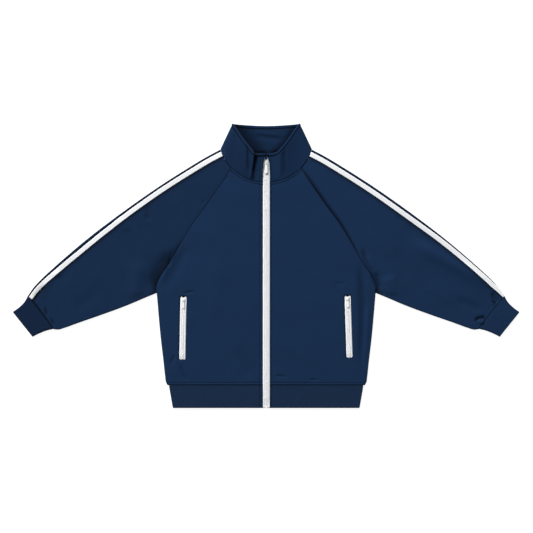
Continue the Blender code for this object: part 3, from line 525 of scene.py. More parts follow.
def mesh_piece(name, points, faces, finish, layers):
    """A smooth piece from points in millimetres. Each layer is a name and a UV for each point."""
    mesh = bpy.data.meshes.new(name)
    mesh.from_pydata((points * MM).tolist(), [], faces)
    index = np.empty(len(mesh.loops), np.int32)
    mesh.loops.foreach_get("vertex_index", index)
    for layer_name, uv in layers:
        layer = mesh.uv_layers.new(name=layer_name)
        layer.data.foreach_set("uv", uv.astype(np.float32)[index].ravel())
    mesh.shade_smooth()
    mesh.materials.append(finish)
    obj = bpy.data.objects.new(name, mesh)
    bpy.context.scene.collection.objects.link(obj)
    return obj


def shell(name, grid, normal, outer, inner, uv, finish, kept=None, ring=False, shade=0.0):
    """A closed wall of cloth round a grid: outer and inner are its half thicknesses at each point.

    shade is the painted shade at each point, from 0 to 1, that darkens the colour at a seam, a line of
    stitches, a crease or a shadow; below 0 it is a painted highlight. kept marks the quads of the grid that
    are built, and a ring joins its last column to its first.
    """
    size = grid.shape[:2]
    index = np.arange(size[0] * size[1]).reshape(size)
    if ring:
        index = np.concatenate([index, index[:, :1]], axis=1)
    quads = corners(index)
    quads = quads[kept] if kept is not None else quads.reshape(-1, 4)
    used = np.unique(quads)
    below = len(used)
    new = np.full(index.max() + 1, -1)
    new[used] = np.arange(below)
    quads = new[quads]

    def at_points(values):
        return np.broadcast_to(values, size).reshape(-1)[used]

    flat, direction = grid.reshape(-1, 3)[used], normal.reshape(-1, 3)[used]
    high = flat + direction * at_points(outer)[:, None]
    low = flat - direction * at_points(inner)[:, None]
    turn = np.cross(flat[quads[:, 1]] - flat[quads[:, 0]], flat[quads[:, 3]] - flat[quads[:, 0]])
    if np.sum(turn * direction[quads[:, 0]]) < 0:
        quads = quads[:, ::-1]
    ends = np.concatenate([quads[:, [k, (k + 1) % 4]] for k in range(4)])
    key = np.sort(ends, axis=1) @ np.array([below, 1])
    _, first, count = np.unique(key, return_index=True, return_counts=True)
    rim = ends[first[count == 1]]
    side = np.stack([rim[:, 1], rim[:, 0], rim[:, 0] + below, rim[:, 1] + below], axis=1)
    faces = np.concatenate([quads, quads[:, ::-1] + below, side]).tolist()
    # The painted shade of each point, kept in a UV layer that darkens the material's colour.
    depth = np.minimum(at_points(shade), DARKEST)
    cloth = uv.reshape(-1, 2)[used] * MM
    seams = np.stack([depth, np.zeros(below)], axis=1)
    layers = [("cloth", np.tile(cloth, (2, 1))), ("seams", np.tile(seams, (2, 1)))]
    return mesh_piece(name, np.concatenate([high, low]), faces, finish, layers)


def turned(grid, side):
    """The grid for one side of the jacket: the wearer's left is drawn, and the right is its mirror image."""
    return grid * np.array([side, 1.0, 1.0])


def plan_uv(grid, degrees=0.0):
    """Cloth coordinates that run with the knit: plan coordinates turned to the piece's grain."""
    angle = math.radians(degrees)
    u = grid[..., 0] * math.cos(angle) + grid[..., 1] * math.sin(angle)
    v = grid[..., 1] * math.cos(angle) - grid[..., 0] * math.sin(angle)
    return np.stack([u, v], axis=-1)


def cloth_uv(grid):
    """Cloth coordinates measured along the cloth itself, for bands and tapes."""
    return np.stack([travelled(grid, 1)[0], travelled(grid, 0)[0]], axis=-1)


def joined(obj):
    """obj moves with the jacket."""
    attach(obj, "jacket")


def sewn_in(obj, node):
    """obj stands for a node of the frame, whose solid is hidden, and moves with the jacket."""
    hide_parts(node)
    joined(obj)


# ---------------------------------------------------------------- edges of the knit

ARC = np.linspace(0, 1, 8) ** 1.15 * math.pi / 2
RIM_LEAN = 0.12
DARKEST = 0.9  # the deepest painted shade
SEAM_STEPS = (0.35, 0.8, 1.3, 1.9, 2.6, 3.4, 4.2, 4.9, 5.4, 5.9, 6.4, 7.0, 8.0, 9.4)
FLAT_STEPS = (0.35, 0.8, 1.3, 1.9, 2.7)
STEP = 2.4
BACK_STEP = 5.0
ARMPIT_REACH = 16.0
UNSHADED = 20.0  # added to a distance where the edge is tucked under, so that no painted seam shade shows there
UNTHINNED = 3.0  # and so that the wall keeps its thickness there


def seamed_edge(edge, inside, tuck):
    """Rows of plan points that lead in from a seam, and how far each drops towards the other layer."""
    direction = inward(edge, inside)
    inset = SEAM_GAP / 2 + KNIT / 2 * np.minimum(1.3 * np.sin(tuck * math.pi / 2), 1.0)
    round_reach = tuck[:, None] * (1 - np.cos(ARC))[None, :]
    flat_reach = (1 - tuck)[:, None] * (ARC / ARC[-1])[None, :]
    reach = inset[:, None] + FOLD_RADIUS * (round_reach + flat_reach)
    plan = edge[:, None] + direction[:, None] * reach[..., None]
    low = SEAM_GAP / 2 + RIM_LEAN
    drop = tuck[:, None] * (FOLD_RADIUS * (1 - np.sin(ARC)) - low * np.cos(ARC))[None, :]
    return plan, drop


def armpit_tuck(edge):
    """1 at the armpit, fading to 0 up a raglan seam."""
    return ease(1 - np.linalg.norm(edge - ARMPIT, axis=1) / ARMPIT_REACH)


def edge_length(rows):
    """Length of the smooth curve through the rows."""
    line = smooth(rows, np.linspace(0, 1, 200))
    return float(np.sum(np.linalg.norm(np.diff(line, axis=0), axis=1)))


# ---------------------------------------------------------------- body

BODY_MIDDLE = (60.0, 60.0)
NECK_BEND = 0.16  # share of the edge's length over which the rows bend to the neck seam


def body_half(raglan, neck, columns, step):
    """Plan points of half a body panel, the drop of each, and the tuck of each row's outer edge."""
    side = smooth(SIDE_SEAM[::-1], graded(edge_length(SIDE_SEAM), step, low=SEAM_STEPS))
    up = smooth(raglan[::-1], graded(edge_length(raglan), step, high=SEAM_STEPS))[1:]
    edge = np.concatenate([side, up])
    tuck = np.concatenate([np.ones(len(side)), armpit_tuck(up)])
    plan, drop = seamed_edge(edge, np.array(BODY_MIDDLE), tuck)
    hem = HEM_Y + SEAM_GAP / 2
    share = shares(edge)
    across = columns[:-1]
    top = smooth(neck, across)
    top[:, 1] -= SEAM_GAP / 2
    plan[-1, :, 1] -= SEAM_GAP / 2
    plan[0, :, 1] = hem
    middle = np.stack([np.full(len(edge), top[0, 0]), hem + (top[0, 1] - hem) * share], axis=1)
    flat = middle[:, None] + (plan[:, -1] - middle)[:, None] * across[None, :, None]
    flat += (top - flat[-1])[None] * ease((share - 1) / NECK_BEND + 1)[:, None, None]
    points = np.concatenate([flat, plan[:, ::-1]], axis=1)
    drops = np.concatenate([np.zeros(flat.shape[:2]), drop[:, ::-1]], axis=1)
    return points, drops, tuck


def pocket_frame(side):
    """The middle of a pocket slot's top, the unit vector down the slot, and its length."""
    start, end = np.array(POCKETS[side]) * np.array([side, 1.0])
    length = float(np.linalg.norm(end - start))
    return start, (end - start) / length, length


def slot_distance(plan, side):
    """Distance in plan to a pocket slot's outline, below 0 inside it, and the direction outwards."""
    start, down, length = pocket_frame(side)
    axes = np.array([(-down[1], down[0]), down])
    place = (plan - start) @ axes.T - np.array([0.0, length / 2])
    beyond = np.abs(place) - (np.array([POCKET_SLOT_HALF_WIDTH, length / 2]) - POCKET_SLOT_CORNER)
    most = np.max(beyond, axis=-1, keepdims=True)
    outside = np.linalg.norm(np.maximum(beyond, 0), axis=-1)
    distance = outside + np.minimum(most[..., 0], 0) - POCKET_SLOT_CORNER
    pull = np.where(beyond > 0, beyond, np.where(beyond == most, 1.0e-3, 0.0)) * np.sign(place)
    return distance, unit(pull) @ axes


def front_panel(side, suffix, finish):
    columns = graded(RAGLAN_FRONT[4][0], STEP, low=SEAM_STEPS)
    plan, drop, tuck = body_half(RAGLAN_FRONT, NECK_FRONT, columns, STEP)
    plan[..., 0] *= side
    # The slot: quads that lie wholly inside go, and the inner points of the others move onto its outline.
    gap, outwards = slot_distance(plan, side)
    inside = gap <= 0
    kept = ~np.all(corners(inside), axis=-1)
    plan -= np.where(inside, gap, 0)[..., None] * outwards
    gap = np.maximum(gap, 0)
    z = front_level(plan[..., 0], plan[..., 1]) - drop
    grid = np.dstack([plan, z])
    (to_hem, to_neck), (to_zip, to_side) = travelled(grid, 0), travelled(grid, 1)
    flat_side = (1 - tuck)[:, None]
    up_raglan = np.clip(to_neck[:, -1:] / edge_length(RAGLAN_FRONT), 0, 1)
    rise = at(RAGLAN_RISE[side], up_raglan) * flat_side
    grid[..., 2] -= fall(to_hem, HEM_FALL, HEM_REACH) + fall(to_neck, SEAM_FALL, SEAM_REACH)
    grid[..., 2] -= fall(to_side, SEAM_FALL * RAGLAN_SHARE[side] * flat_side, SEAM_REACH)
    grid[..., 2] += rise * (1 - ease(to_side / RISE_REACH))
    grid[..., 2] -= fall(gap, LIP_FALL, LIP_REACH) + fall(to_zip, ZIP_EDGE_FALL, ZIP_EDGE_REACH)
    # Painted shade along the hem, neck, placket, pocket slot and raglan seam, with painted highlights on the
    # rolls between, and painted shade in the creases.
    shade = strip_shade(to_hem, HEM_STITCH, 0.7, 0.42) + strip_shade(to_neck, NECK_STITCH, 0.45, 0.5)
    shade += strip_shade(to_zip, PLACKET_STITCH[side], 0.6, 0.3) + line_shade(gap, EDGE_LINE, 0.65)
    shade += line_shade(to_side + UNSHADED * tuck[:, None], FLAT_SEAM_LINE, 0.35)
    shade += cavity(grid[..., 0], grid[..., 1])
    half = rounded(KNIT / 2, to_zip, to_side + UNTHINNED * tuck[:, None], gap)
    outer = half + rolled(to_hem, HEM_STITCH) + rolled(to_neck, NECK_STITCH)
    outer += rolled(to_zip, PLACKET_STITCH[side])
    normal = normals(grid, 60, 60)
    name = "knit_front_" + suffix
    made = shell(name, grid, normal, outer, half, plan_uv(grid), finish, kept, shade=shade)
    sewn_in(made, "front_" + suffix)
    return made


def back_panel(finish):
    columns = graded(RAGLAN_BACK[3][0], BACK_STEP)
    plan, drop, tuck = body_half(RAGLAN_BACK, NECK_BACK, columns, BACK_STEP)
    left = np.dstack([plan, np.zeros(plan.shape[:2])])
    grid = np.concatenate([turned(left, -1)[:, :0:-1], left], axis=1)
    drops = np.concatenate([drop[:, :0:-1], drop], axis=1)
    grid[..., 2] = back_level(grid[..., 0], grid[..., 1]) + drops
    to_hem, to_neck = travelled(grid, 0)
    to_side = np.minimum(*travelled(grid, 1))
    flat_side = (1 - tuck)[:, None]
    grid[..., 2] += fall(to_hem, SEAM_FALL / 2, SEAM_REACH) + fall(to_neck, SEAM_FALL / 2, SEAM_REACH)
    grid[..., 2] += fall(to_side, SEAM_FALL / 2 * flat_side, SEAM_REACH)
    half = np.full(grid.shape[:2], KNIT / 2)
    outer = half - ditch(to_hem - HEM_STITCH) - ditch(to_neck - NECK_STITCH)
    made = shell("knit_back", grid, -normals(grid, 40, 40), outer, half, plan_uv(grid), finish)
    sewn_in(made, "back")
    return made


# ---------------------------------------------------------------- sleeves

CUFF_END_STEPS = (
    *FLAT_STEPS, 3.6, 4.6, 5.7, 6.9, 8.2, 9.6, 11.0, 12.5, 14.0, 15.6, 17.2, 19.0, 21.0, 23.0, 25.0,
)
SLEEVE_GRAIN = -37.3


def sleeve_lines(raglan):
    """The lower edge of one layer of the sleeve, the fold above it, and the edge's tuck at the outline."""
    cap = graded(edge_length(RAGLAN_FRONT), STEP, low=SEAM_STEPS)[:-1]
    arm = graded(edge_length(UNDERARM), STEP, high=CUFF_END_STEPS)
    t = np.linspace(0, 1, 400)
    cross = t[np.argmin(np.linalg.norm(smooth(SLEEVE_FOLD, t) - np.array(ARMPIT_CROSS), axis=1))]
    edge = np.concatenate([smooth(raglan, cap), smooth(UNDERARM, arm)])
    top = smooth(SLEEVE_FOLD, np.concatenate([cap * cross, cross + arm * (1 - cross)]))
    tuck = np.concatenate([armpit_tuck(edge[: len(cap)]), np.ones(len(arm))])
    return edge, top, tuck


def bowed(plan, top, edge, cuff_bow):
    """The sleeve's points with its ends drawn in from their seams and bowed to them."""
    share = shares(top)
    q = np.linalg.norm(plan - top[:, None], axis=2) / np.linalg.norm(edge - top, axis=1)[:, None]
    bow = 4 * np.clip(q, 0, 1) * (1 - np.clip(q, 0, 1))
    near_neck = ease(1 - share / BOW_REACH)[:, None]
    near_cuff = ease((share - 1) / BOW_REACH + 1)[:, None]
    shift = (NECK_BOW * bow + SEAM_GAP) * near_neck * (share < BOW_REACH)[:, None]
    shift -= (cuff_bow * bow + SEAM_GAP * 0.9) * near_cuff
    across = unit(edge - top)
    ahead = np.where((share < 0.5)[:, None], across[0], across[-1]) @ np.array([[0.0, 1.0], [-1.0, 0.0]])
    ahead *= np.sign(ahead[:, :1])
    return plan + shift[..., None] * ahead[:, None]


def sleeve_grid(side):
    """The sleeve's mid wall, the columns that lie under its tape, and the tuck of its two edges."""
    front_edge, top, front_tuck = sleeve_lines(RAGLAN_FRONT)
    back_edge, _, back_tuck = sleeve_lines(RAGLAN_BACK)
    core = (front_edge + top) / 2
    front, front_drop = seamed_edge(front_edge, core, front_tuck)
    back, back_drop = seamed_edge(back_edge, core, back_tuck)
    out = -inward(top, core)
    start = top - out * (KNIT / 2)
    share = shares(top)
    first, width = (at(rows[side], share)[:, None] for rows in (STRIPE_OFFSETS, STRIPE_WIDTHS))
    # Distances round the wall from the outline, below 0 on the back layer: under the fold, over it, the tape.
    under = np.ones_like(first) * (-FOLD_RADIUS * math.pi / 2 * np.linspace(1, 0.15, 6))[None, :]
    lead = first * np.array([0.0, 0.2, 0.4, 0.6, 0.8])[None, :]
    taped = first + width * np.linspace(0, 1, 9)[None, :]
    arc = np.concatenate([under, lead, taped], axis=1)
    angle = np.clip(arc / FOLD_RADIUS, -math.pi / 2, math.pi / 2)
    reach = FOLD_RADIUS * (1 - np.cos(angle)) + np.abs(arc) - np.abs(angle) * FOLD_RADIUS
    round_plan = start[:, None] - out[:, None] * reach[..., None]
    over = np.concatenate([front, between(front[:, -1], round_plan[:, -1], 62)], axis=1)
    over_z = front_level(over[..., 0] * side, over[..., 1])
    over_z[:, : len(ARC)] -= front_drop
    round_z = KNIT / 2 + FOLD_RADIUS * (1 + np.sin(angle))
    round_z += relief(round_plan[..., 0] * side, round_plan[..., 1])
    beneath = np.concatenate([between(round_plan[:, 0], back[:, -1], 22), back[:, ::-1]], axis=1)
    beneath_z = back_level(beneath[..., 0] * side, beneath[..., 1])
    beneath_z[:, -len(ARC) :] += back_drop[:, ::-1]
    plan = np.concatenate([over, round_plan[:, ::-1], beneath], axis=1)
    z = np.concatenate([over_z, round_z[:, ::-1], beneath_z], axis=1)
    grid = np.dstack([bowed(plan, top, front_edge, CUFF_BOW[side]), z])
    return grid, slice(over.shape[1], over.shape[1] + taped.shape[1]), front_tuck, back_tuck


def raglan_shade(side, share, distance):
    """Painted shade of the sleeve where it has sunk beside the body."""
    table = RAGLAN_SHADE[side]
    return at(table, share) * (1 - ease(distance / at(table, share, 2)))


def sleeve(side, suffix, finish, tape_finish):
    grid, taped, front_tuck, back_tuck = sleeve_grid(side)
    (to_neck, to_cuff), (to_front, to_back) = travelled(grid, 0), travelled(grid, 1)
    front_tuck, back_tuck = front_tuck[:, None], back_tuck[:, None]
    upper = np.clip((grid[..., 2] - KNIT / 2) / LAYER_RISE, 0, 1)
    seen = np.clip(3 * upper - 0.6, 0, 1)
    share = to_neck[:, :1] / edge_length(RAGLAN_FRONT)
    dip = at(RAGLAN_DIP[side], share) * (1 - front_tuck)
    ends = fall(to_neck, SEAM_FALL, SEAM_REACH) + fall(to_cuff, SEAM_FALL, SEAM_REACH)
    grid[..., 2] -= ends * (1.5 * upper - 0.5)
    grid[..., 2] -= fall(to_front, SEAM_FALL * RAGLAN_SHARE[side] * (1 - front_tuck), SEAM_REACH)
    grid[..., 2] -= dip * np.clip(1 - to_front / DIP_REACH, 0, 1) ** 3
    tape_middle = travelled(grid, 1)[0]
    tape_middle = tape_middle - tape_middle[:, taped.start : taped.start + 1] - STRIPE_WIDTH / 2
    # Painted shade: a line along each seam, shade where the sleeve sinks by the raglan seam and in its
    # creases, a dark band along each side of the tape, and a darker tone on one side. A painted highlight
    # lies just off the cuff seam.
    shades = [
        line_shade(to_neck, 1.4, 0.4),
        line_shade(to_cuff, 1.9, 0.5),
        line_shade(to_front + UNSHADED * front_tuck, FLAT_SEAM_LINE, 0.35),
        raglan_shade(side, share, to_front) * seen,
        cavity(grid[..., 0] * side, grid[..., 1]) * seen,
        line_shade(tape_middle, STRIPE_WIDTH / 2 + 3.5, 1.2) * seen,
    ]
    shade = np.maximum.reduce(shades) + SLEEVE_SHADE[side]
    shade -= line_shade(to_cuff - 3.6, 1.6, CUFF_SEAM_LIGHT[side]) * seen
    grid[..., 2] += fall(to_back, SEAM_FALL / 2 * (1 - back_tuck), SEAM_REACH)
    grid[..., 2] = np.maximum(grid[..., 2], KNIT / 2)
    half = rounded(KNIT / 2, to_front + UNTHINNED * front_tuck, to_back + UNTHINNED * back_tuck)
    normal = normals(grid, 60, 30)
    uv = plan_uv(grid, SLEEVE_GRAIN)
    name = "knit_sleeve_" + suffix
    made = shell(name, turned(grid, side), turned(normal, side), half, half, uv, finish, shade=shade)
    sewn_in(made, "sleeve_" + suffix)
    return sleeve_tape(side, suffix, grid[:, taped], normal[:, taped], tape_finish)


def sleeve_tape(side, suffix, under, normal, finish):
    """The tape that is sewn on a sleeve's columns under it."""
    tape = under + normal * (KNIT / 2 + STRIPE_LIFT + STRIPE / 2)
    thick = STRIPE / 2 * np.clip(0.45 + np.minimum(*travelled(tape, 1)) / 0.8, 0, 1)
    name = "tape_sleeve_" + suffix
    made = shell(name, turned(tape, side), turned(normal, side), thick, thick, cloth_uv(tape), finish)
    sewn_in(made, "sleeve_tape_" + suffix)
    return made


# ---------------------------------------------------------------- cuffs, hem band and collar

RIB_STEP = 2.2
FREE_STEPS = (0.25, 0.6, 1.1, 1.8)
CUFF_HEIGHT = 52.0
CUFF_SWELL = 1.4  # how much more uneven the front layer of the rib is than the knit
BAND_SWELL = 1.2


def folded_edge(line, inside):
    """Plan points round a fold of the rib, from the back layer to the front, and their heights."""
    direction = inward(line, inside)
    angle = np.linspace(-math.pi / 2, math.pi / 2, 13)
    start = line + direction * (RIB / 2)
    plan = start[:, None] + direction[:, None] * (FOLD_RADIUS * (1 - np.cos(angle)))[None, :, None]
    return plan, np.ones((len(line), 1)) * (RIB / 2 + FOLD_RADIUS * (1 + np.sin(angle)))


def rib_level(plan, layer):
    """Heights of the rib's mid wall: layer 0 is the back, 1 the front."""
    return np.full(plan.shape[:2], RIB / 2 + LAYER_RISE * layer)


def cuff(side, suffix, finish):
    rows = graded(CUFF_HEIGHT, RIB_STEP, low=FLAT_STEPS, high=FREE_STEPS)
    top, lower = smooth(CUFF_TOP_EDGE, rows), smooth(CUFF_LOWER_EDGE, rows)
    core = (top + lower) / 2
    (upper_fold, upper_z), (lower_fold, lower_z) = folded_edge(top, core), folded_edge(lower, core)
    front = between(lower_fold[:, -1], upper_fold[:, -1], 44)
    back = between(upper_fold[:, 0], lower_fold[:, 0], 30)
    plan = np.concatenate([front, upper_fold[:, ::-1], back, lower_fold], axis=1)
    swells = CUFF_SWELL * swell(front[..., 0] * side, front[..., 1])
    front_z = rib_level(front, 1) + swells * ease(rows / 0.2)[:, None]
    z = np.concatenate([front_z, upper_z[:, ::-1], rib_level(back, 0), lower_z], axis=1)
    seam = unit(top[0] - lower[0])
    ahead = np.array([seam[1], -seam[0]])
    q = np.clip((plan - lower[0]) @ seam / np.linalg.norm(top[0] - lower[0]), 0, 1)
    shift = (SEAM_GAP * 0.9 - CUFF_BOW[side] * 4 * q * (1 - q)) * (1 - rows)[:, None]
    grid = np.dstack([plan + shift[..., None] * ahead, z])
    to_seam, to_hand = travelled(grid, 0)
    normal = normals(grid, 8, 20, ring=True)
    grid = grid - normal * fall(to_seam, SEAM_FALL * 0.5, SEAM_REACH)[..., None]
    half = rounded(RIB / 2, to_hand, to_seam + 0.5)
    # Painted shade along the seam, and a painted darker tone on the wearer's right cuff.
    shade = line_shade(to_seam, 1.8, 0.5) + CUFF_SHADE[side]
    sides = [turned(values, side) for values in (grid, normal)]
    made = shell("rib_cuff_" + suffix, *sides, half, half, cloth_uv(grid), finish, ring=True, shade=shade)
    sewn_in(made, "cuff_" + suffix)


def hem_band(finish):
    """The band round the hem, open at the zip: front, side fold, back, side fold, front."""
    height = HEM_Y - BAND_BOTTOM_Y
    rows = graded(height, RIB_STEP, low=FLAT_STEPS, high=FREE_STEPS)
    y = HEM_Y - SEAM_GAP - (height - SEAM_GAP) * rows
    fold, fold_z = folded_edge(np.stack([at(BAND_HALF_WIDTHS, y), y], axis=1), np.array([0.0, -310.0]))
    fold[..., 1] = y[:, None]
    middle = np.stack([np.full(len(y), ZIP_HALF_WIDTH), y], axis=1)
    centre = np.stack([np.zeros(len(y)), y], axis=1)
    columns = graded(220.0, STEP, low=SEAM_STEPS)[:-1]
    front = middle[:, None] + (fold[:, -1] - middle)[:, None] * columns[None, :, None]
    back = np.concatenate([between(fold[:, 0], centre, 50), centre[:, None]], axis=1)
    plan = np.concatenate([front, fold[:, ::-1], back], axis=1)
    z = np.concatenate([rib_level(front, 1), fold_z[:, ::-1], rib_level(back, 0)], axis=1)
    left = np.dstack([plan, z])
    grid = np.concatenate([left, turned(left, -1)[:, -2::-1]], axis=1)
    on_front = grid[..., 2] > RIB / 2 + LAYER_RISE - 0.01
    grid[..., 2] += on_front * BAND_SWELL * swell(grid[..., 0], grid[..., 1]) * ease(rows / 0.25)[:, None]
    to_seam, to_end = travelled(grid, 0)
    to_zip = np.minimum(*travelled(grid, 1))
    normal = normals(grid, 8, 20)
    grid = grid - normal * fall(to_seam, HEM_FALL * 0.6, HEM_REACH)[..., None]
    grid[..., 2] -= on_front * fall(to_zip, ZIP_EDGE_FALL * 0.6, ZIP_EDGE_REACH)
    half = rounded(RIB / 2, to_end, to_zip, to_seam + 0.5)
    stitch = np.where(grid[..., 0] < 0, PLACKET_STITCH[-1], PLACKET_STITCH[1])
    outer = half + rolled(to_zip, stitch)
    # Painted shade along the seam and the placket, with a painted highlight on the roll.
    shade = line_shade(to_seam, 2.4, 0.6) + strip_shade(to_zip, stitch, 0.6, 0.3)
    made = shell("rib_hem_band", grid, normal, outer, half, cloth_uv(grid), finish, shade=shade)
    sewn_in(made, "hem_band")
    return made


def collar_stations():
    """All the stations, from the wearer's right of the zip to the left. Sides and back are symmetrical."""
    left = np.array(COLLAR_SIDE + COLLAR_BACK)
    parts = [COLLAR_RIGHT_FRONT, turned(left, -1), [COLLAR_BACK_MIDDLE], left[::-1], COLLAR_LEFT_FRONT]
    return np.concatenate(parts)


# The collar's own sheet: each end of a line is a station and a share up the collar.
COLLAR_CREASES = (  # start, end, half width, height
    ((6.5, 0.30), (7.2, 1.00), 4.2, -1.0),
    ((5.7, 0.05), (5.5, 1.00), 2.6, 0.9),
    ((1.5, 0.10), (1.2, 0.45), 2.4, -0.7),
    ((21.7, 0.15), (21.2, 0.85), 6.0, -1.2),
    ((22.6, 0.10), (22.4, 0.95), 4.0, 0.7),
    ((13.5, 0.78), (14.7, 0.66), 4.0, -0.9),
    ((13.4, 0.64), (15.0, 0.52), 5.0, 0.8),
    ((9.4, 0.25), (9.9, 0.85), 9.0, 0.8),
)
COLLAR_SHADES = (  # start, end, half width, painted shade; below 0 painted light
    ((4.2, 0.02), (2.5, 0.45), 3.2, 0.75),
    ((2.9, 0.35), (1.3, 0.97), 5.2, 0.75),
    ((6.5, 0.25), (7.2, 0.95), 4.5, 0.4),
    ((5.6, 0.05), (5.6, 1.00), 1.6, -0.2),
    ((21.6, 0.10), (21.2, 0.85), 5.5, 0.3),
    ((23.2, 0.02), (24.4, 0.06), 2.5, 0.3),
    ((13.5, 0.78), (14.7, 0.66), 3.0, 0.15),
    ((9.9, 0.02), (10.2, 0.20), 5.0, -0.2),
)
# Painted shadow of the front's free edges on the back's inner face: stations along the edge, shade and its
# reach.
INNER_SHADES = (
    (np.arange(5.0, 10.5, 0.25), 0.62, 42.0),
    (np.arange(19.0, 23.6, 0.25), 0.55, 20.0),
    (np.array([0.0, 1.0, 2.0, 3.0, 4.0, 5.0]), 0.45, 12.0),
    (np.array([0.0, 25.0, 24.0, 23.5]), 0.45, 12.0),
)
INNER_STATIONS = (11.0, 17.0)
COLLAR_PAINTED_SHADE = (  # station and painted shade
    (0.0, 0.06), (5.4, 0.04), (7.0, 0.2), (10.0, 0.22), (12.5, 0.12), (15.5, 0.12), (18.0, 0.06),
    (20.0, 0.04), (22.0, 0.0), (25.0, 0.0),
)
EDGE_SHADE = (  # along the free edge: station, painted shade of the stitches, painted light on the roll
    (0.0, 0.6, -0.55), (4.6, 0.6, -0.5), (5.3, 0.6, 0.0), (6.0, 0.85, 0.32), (9.5, 0.85, 0.25),
    (12.0, 0.5, 0.0), (22.5, 0.5, 0.0), (23.5, 0.6, -0.4), (25.0, 0.6, -0.55),
)
COLLAR_ROW_STEP = 1.8
COLLAR_EDGE_STEPS = (0.3, 0.7, 1.3, 2.0, 2.8, 3.8, 4.8, 5.4, 5.9, 6.4, 6.9, 7.5, 8.4, 9.6)


def along_sheet(table, station, place, rows):
    """Sum of soft lines drawn on the collar's sheet, where place is how far along it each station lies."""
    found = np.zeros((len(rows), len(place)))
    x = np.broadcast_to(place[None, :], found.shape)
    y = np.broadcast_to(rows[:, None] * COLLAR_HEIGHT, found.shape)
    for start, end, half_width, strength in table:
        line = np.array([(np.interp(s, station, place), up * COLLAR_HEIGHT) for s, up in (start, end)])
        gap, along = distance_to(line, x, y)
        ends = ease(along / 0.25 + 0.3) * ease((1 - along) / 0.25 + 0.3)
        found += strength * ends * np.exp(-((gap / half_width) ** 2))
    return found


def collar_form(stations, places, t, rows):
    """The collar's mid wall before it creases, with its ends over the zip's tapes."""
    seam, edge = (curve_at(stations[:, k], places, t) for k in (0, 1))
    grid = seam[None] * (1 - rows)[:, None, None] + edge[None] * rows[:, None, None]
    grid[0] += unit(edge - seam) * COLLAR_SEAM_CLEARANCE
    grid[..., 2] = np.maximum(grid[..., 2], COLLAR / 2) + COLLAR_STAND * rows[:, None]
    edge_x = at(ZIP_COVER, rows)
    weight = 1 - np.arange(COLLAR_STEPS) / COLLAR_STEPS
    for columns in (slice(0, COLLAR_STEPS), slice(-1, -COLLAR_STEPS - 1, -1)):
        x = grid[:, columns, 0]
        grid[:, columns, 0] = x + np.sign(x[:, :1]) * (edge_x[:, None] - np.abs(x[:, :1])) * weight
    return grid


def collar_shade(grid, stations, places, t):
    """Painted shade round the collar and at its stitched free edge, with painted light on the roll, and the
    painted shadow that its fronts throw on its back.
    """
    to_top = travelled(grid, 0)[1]
    sewn, light = (at(EDGE_SHADE, t, k)[None, :] for k in (1, 2))
    shade = line_shade(to_top - COLLAR_STITCH, EDGE_LINE, sewn) - line_shade(to_top - 4.0, 2.0, light)
    shade += at(COLLAR_PAINTED_SHADE, t)[None, :]
    within = ((t > INNER_STATIONS[0]) & (t < INNER_STATIONS[1]))[None, :]
    for edge_stations, strength, reach in INNER_SHADES:
        line = curve_at(stations[:, 1], places, edge_stations)[:, :2]
        gap, _ = distance_to(line, grid[..., 0], grid[..., 1])
        shade += within * strength * (1 - ease(gap / reach))
    return shade


def collar(finish):
    stations = collar_stations()
    places = np.arange(len(stations), dtype=float)
    t = np.linspace(0, places[-1], COLLAR_STEPS * (len(stations) - 1) + 1)
    rows = graded(COLLAR_HEIGHT, COLLAR_ROW_STEP, low=FLAT_STEPS, high=COLLAR_EDGE_STEPS)
    grid = collar_form(stations, places, t, rows)
    normal = normals(grid, 30, 5 * COLLAR_STEPS + 50)
    up_place, around = travelled(grid, 0)[0], travelled(grid, 1)
    middle_row = around[0][len(rows) // 2]
    free = ease(up_place / 6) * ease(np.minimum(*around) / 6)
    grid = grid + normal * (along_sheet(COLLAR_CREASES, t, middle_row, rows) * free)[..., None]
    grid[..., 2] = np.maximum(grid[..., 2], COLLAR / 2)
    to_top = travelled(grid, 0)[1]
    to_zip = np.minimum(*travelled(grid, 1))
    half = rounded(COLLAR / 2, to_top, to_zip, up_place)
    stitch = np.where(grid[..., 0] < 0, PLACKET_STITCH[-1], PLACKET_STITCH[1])
    form = COLLAR_ROLL * rolled(to_top, COLLAR_STITCH) + rolled(to_zip, stitch) * (to_top > COLLAR_STITCH - 1)
    thick = np.maximum(half + form * np.minimum(1, half / COLLAR * 2), 0.2)
    # Where the collar lies on the surface, its wall isn't thicker.
    thick = np.where(grid[..., 2] < COLLAR / 2 + 0.35, np.minimum(thick, COLLAR / 2), thick)
    # Painted shade beside the zip and at the seam, and painted shade and light drawn on the collar's sheet.
    shade = collar_shade(grid, stations, places, t) + strip_shade(to_zip, stitch, 0.7, 0.3)
    shade += line_shade(up_place, 1.6, 0.5) + along_sheet(COLLAR_SHADES, t, middle_row, rows)
    made = shell("knit_collar", grid, normal, thick, thick, cloth_uv(grid), finish, shade=shade)
    sewn_in(made, "collar")
    return made


# ---------------------------------------------------------------- threads and teeth

RING = 6
CAPSULE = ((0.0, 0.35), (0.12, 0.85), (0.5, 1.0), (0.88, 0.85), (1.0, 0.35))  # place, share of radius


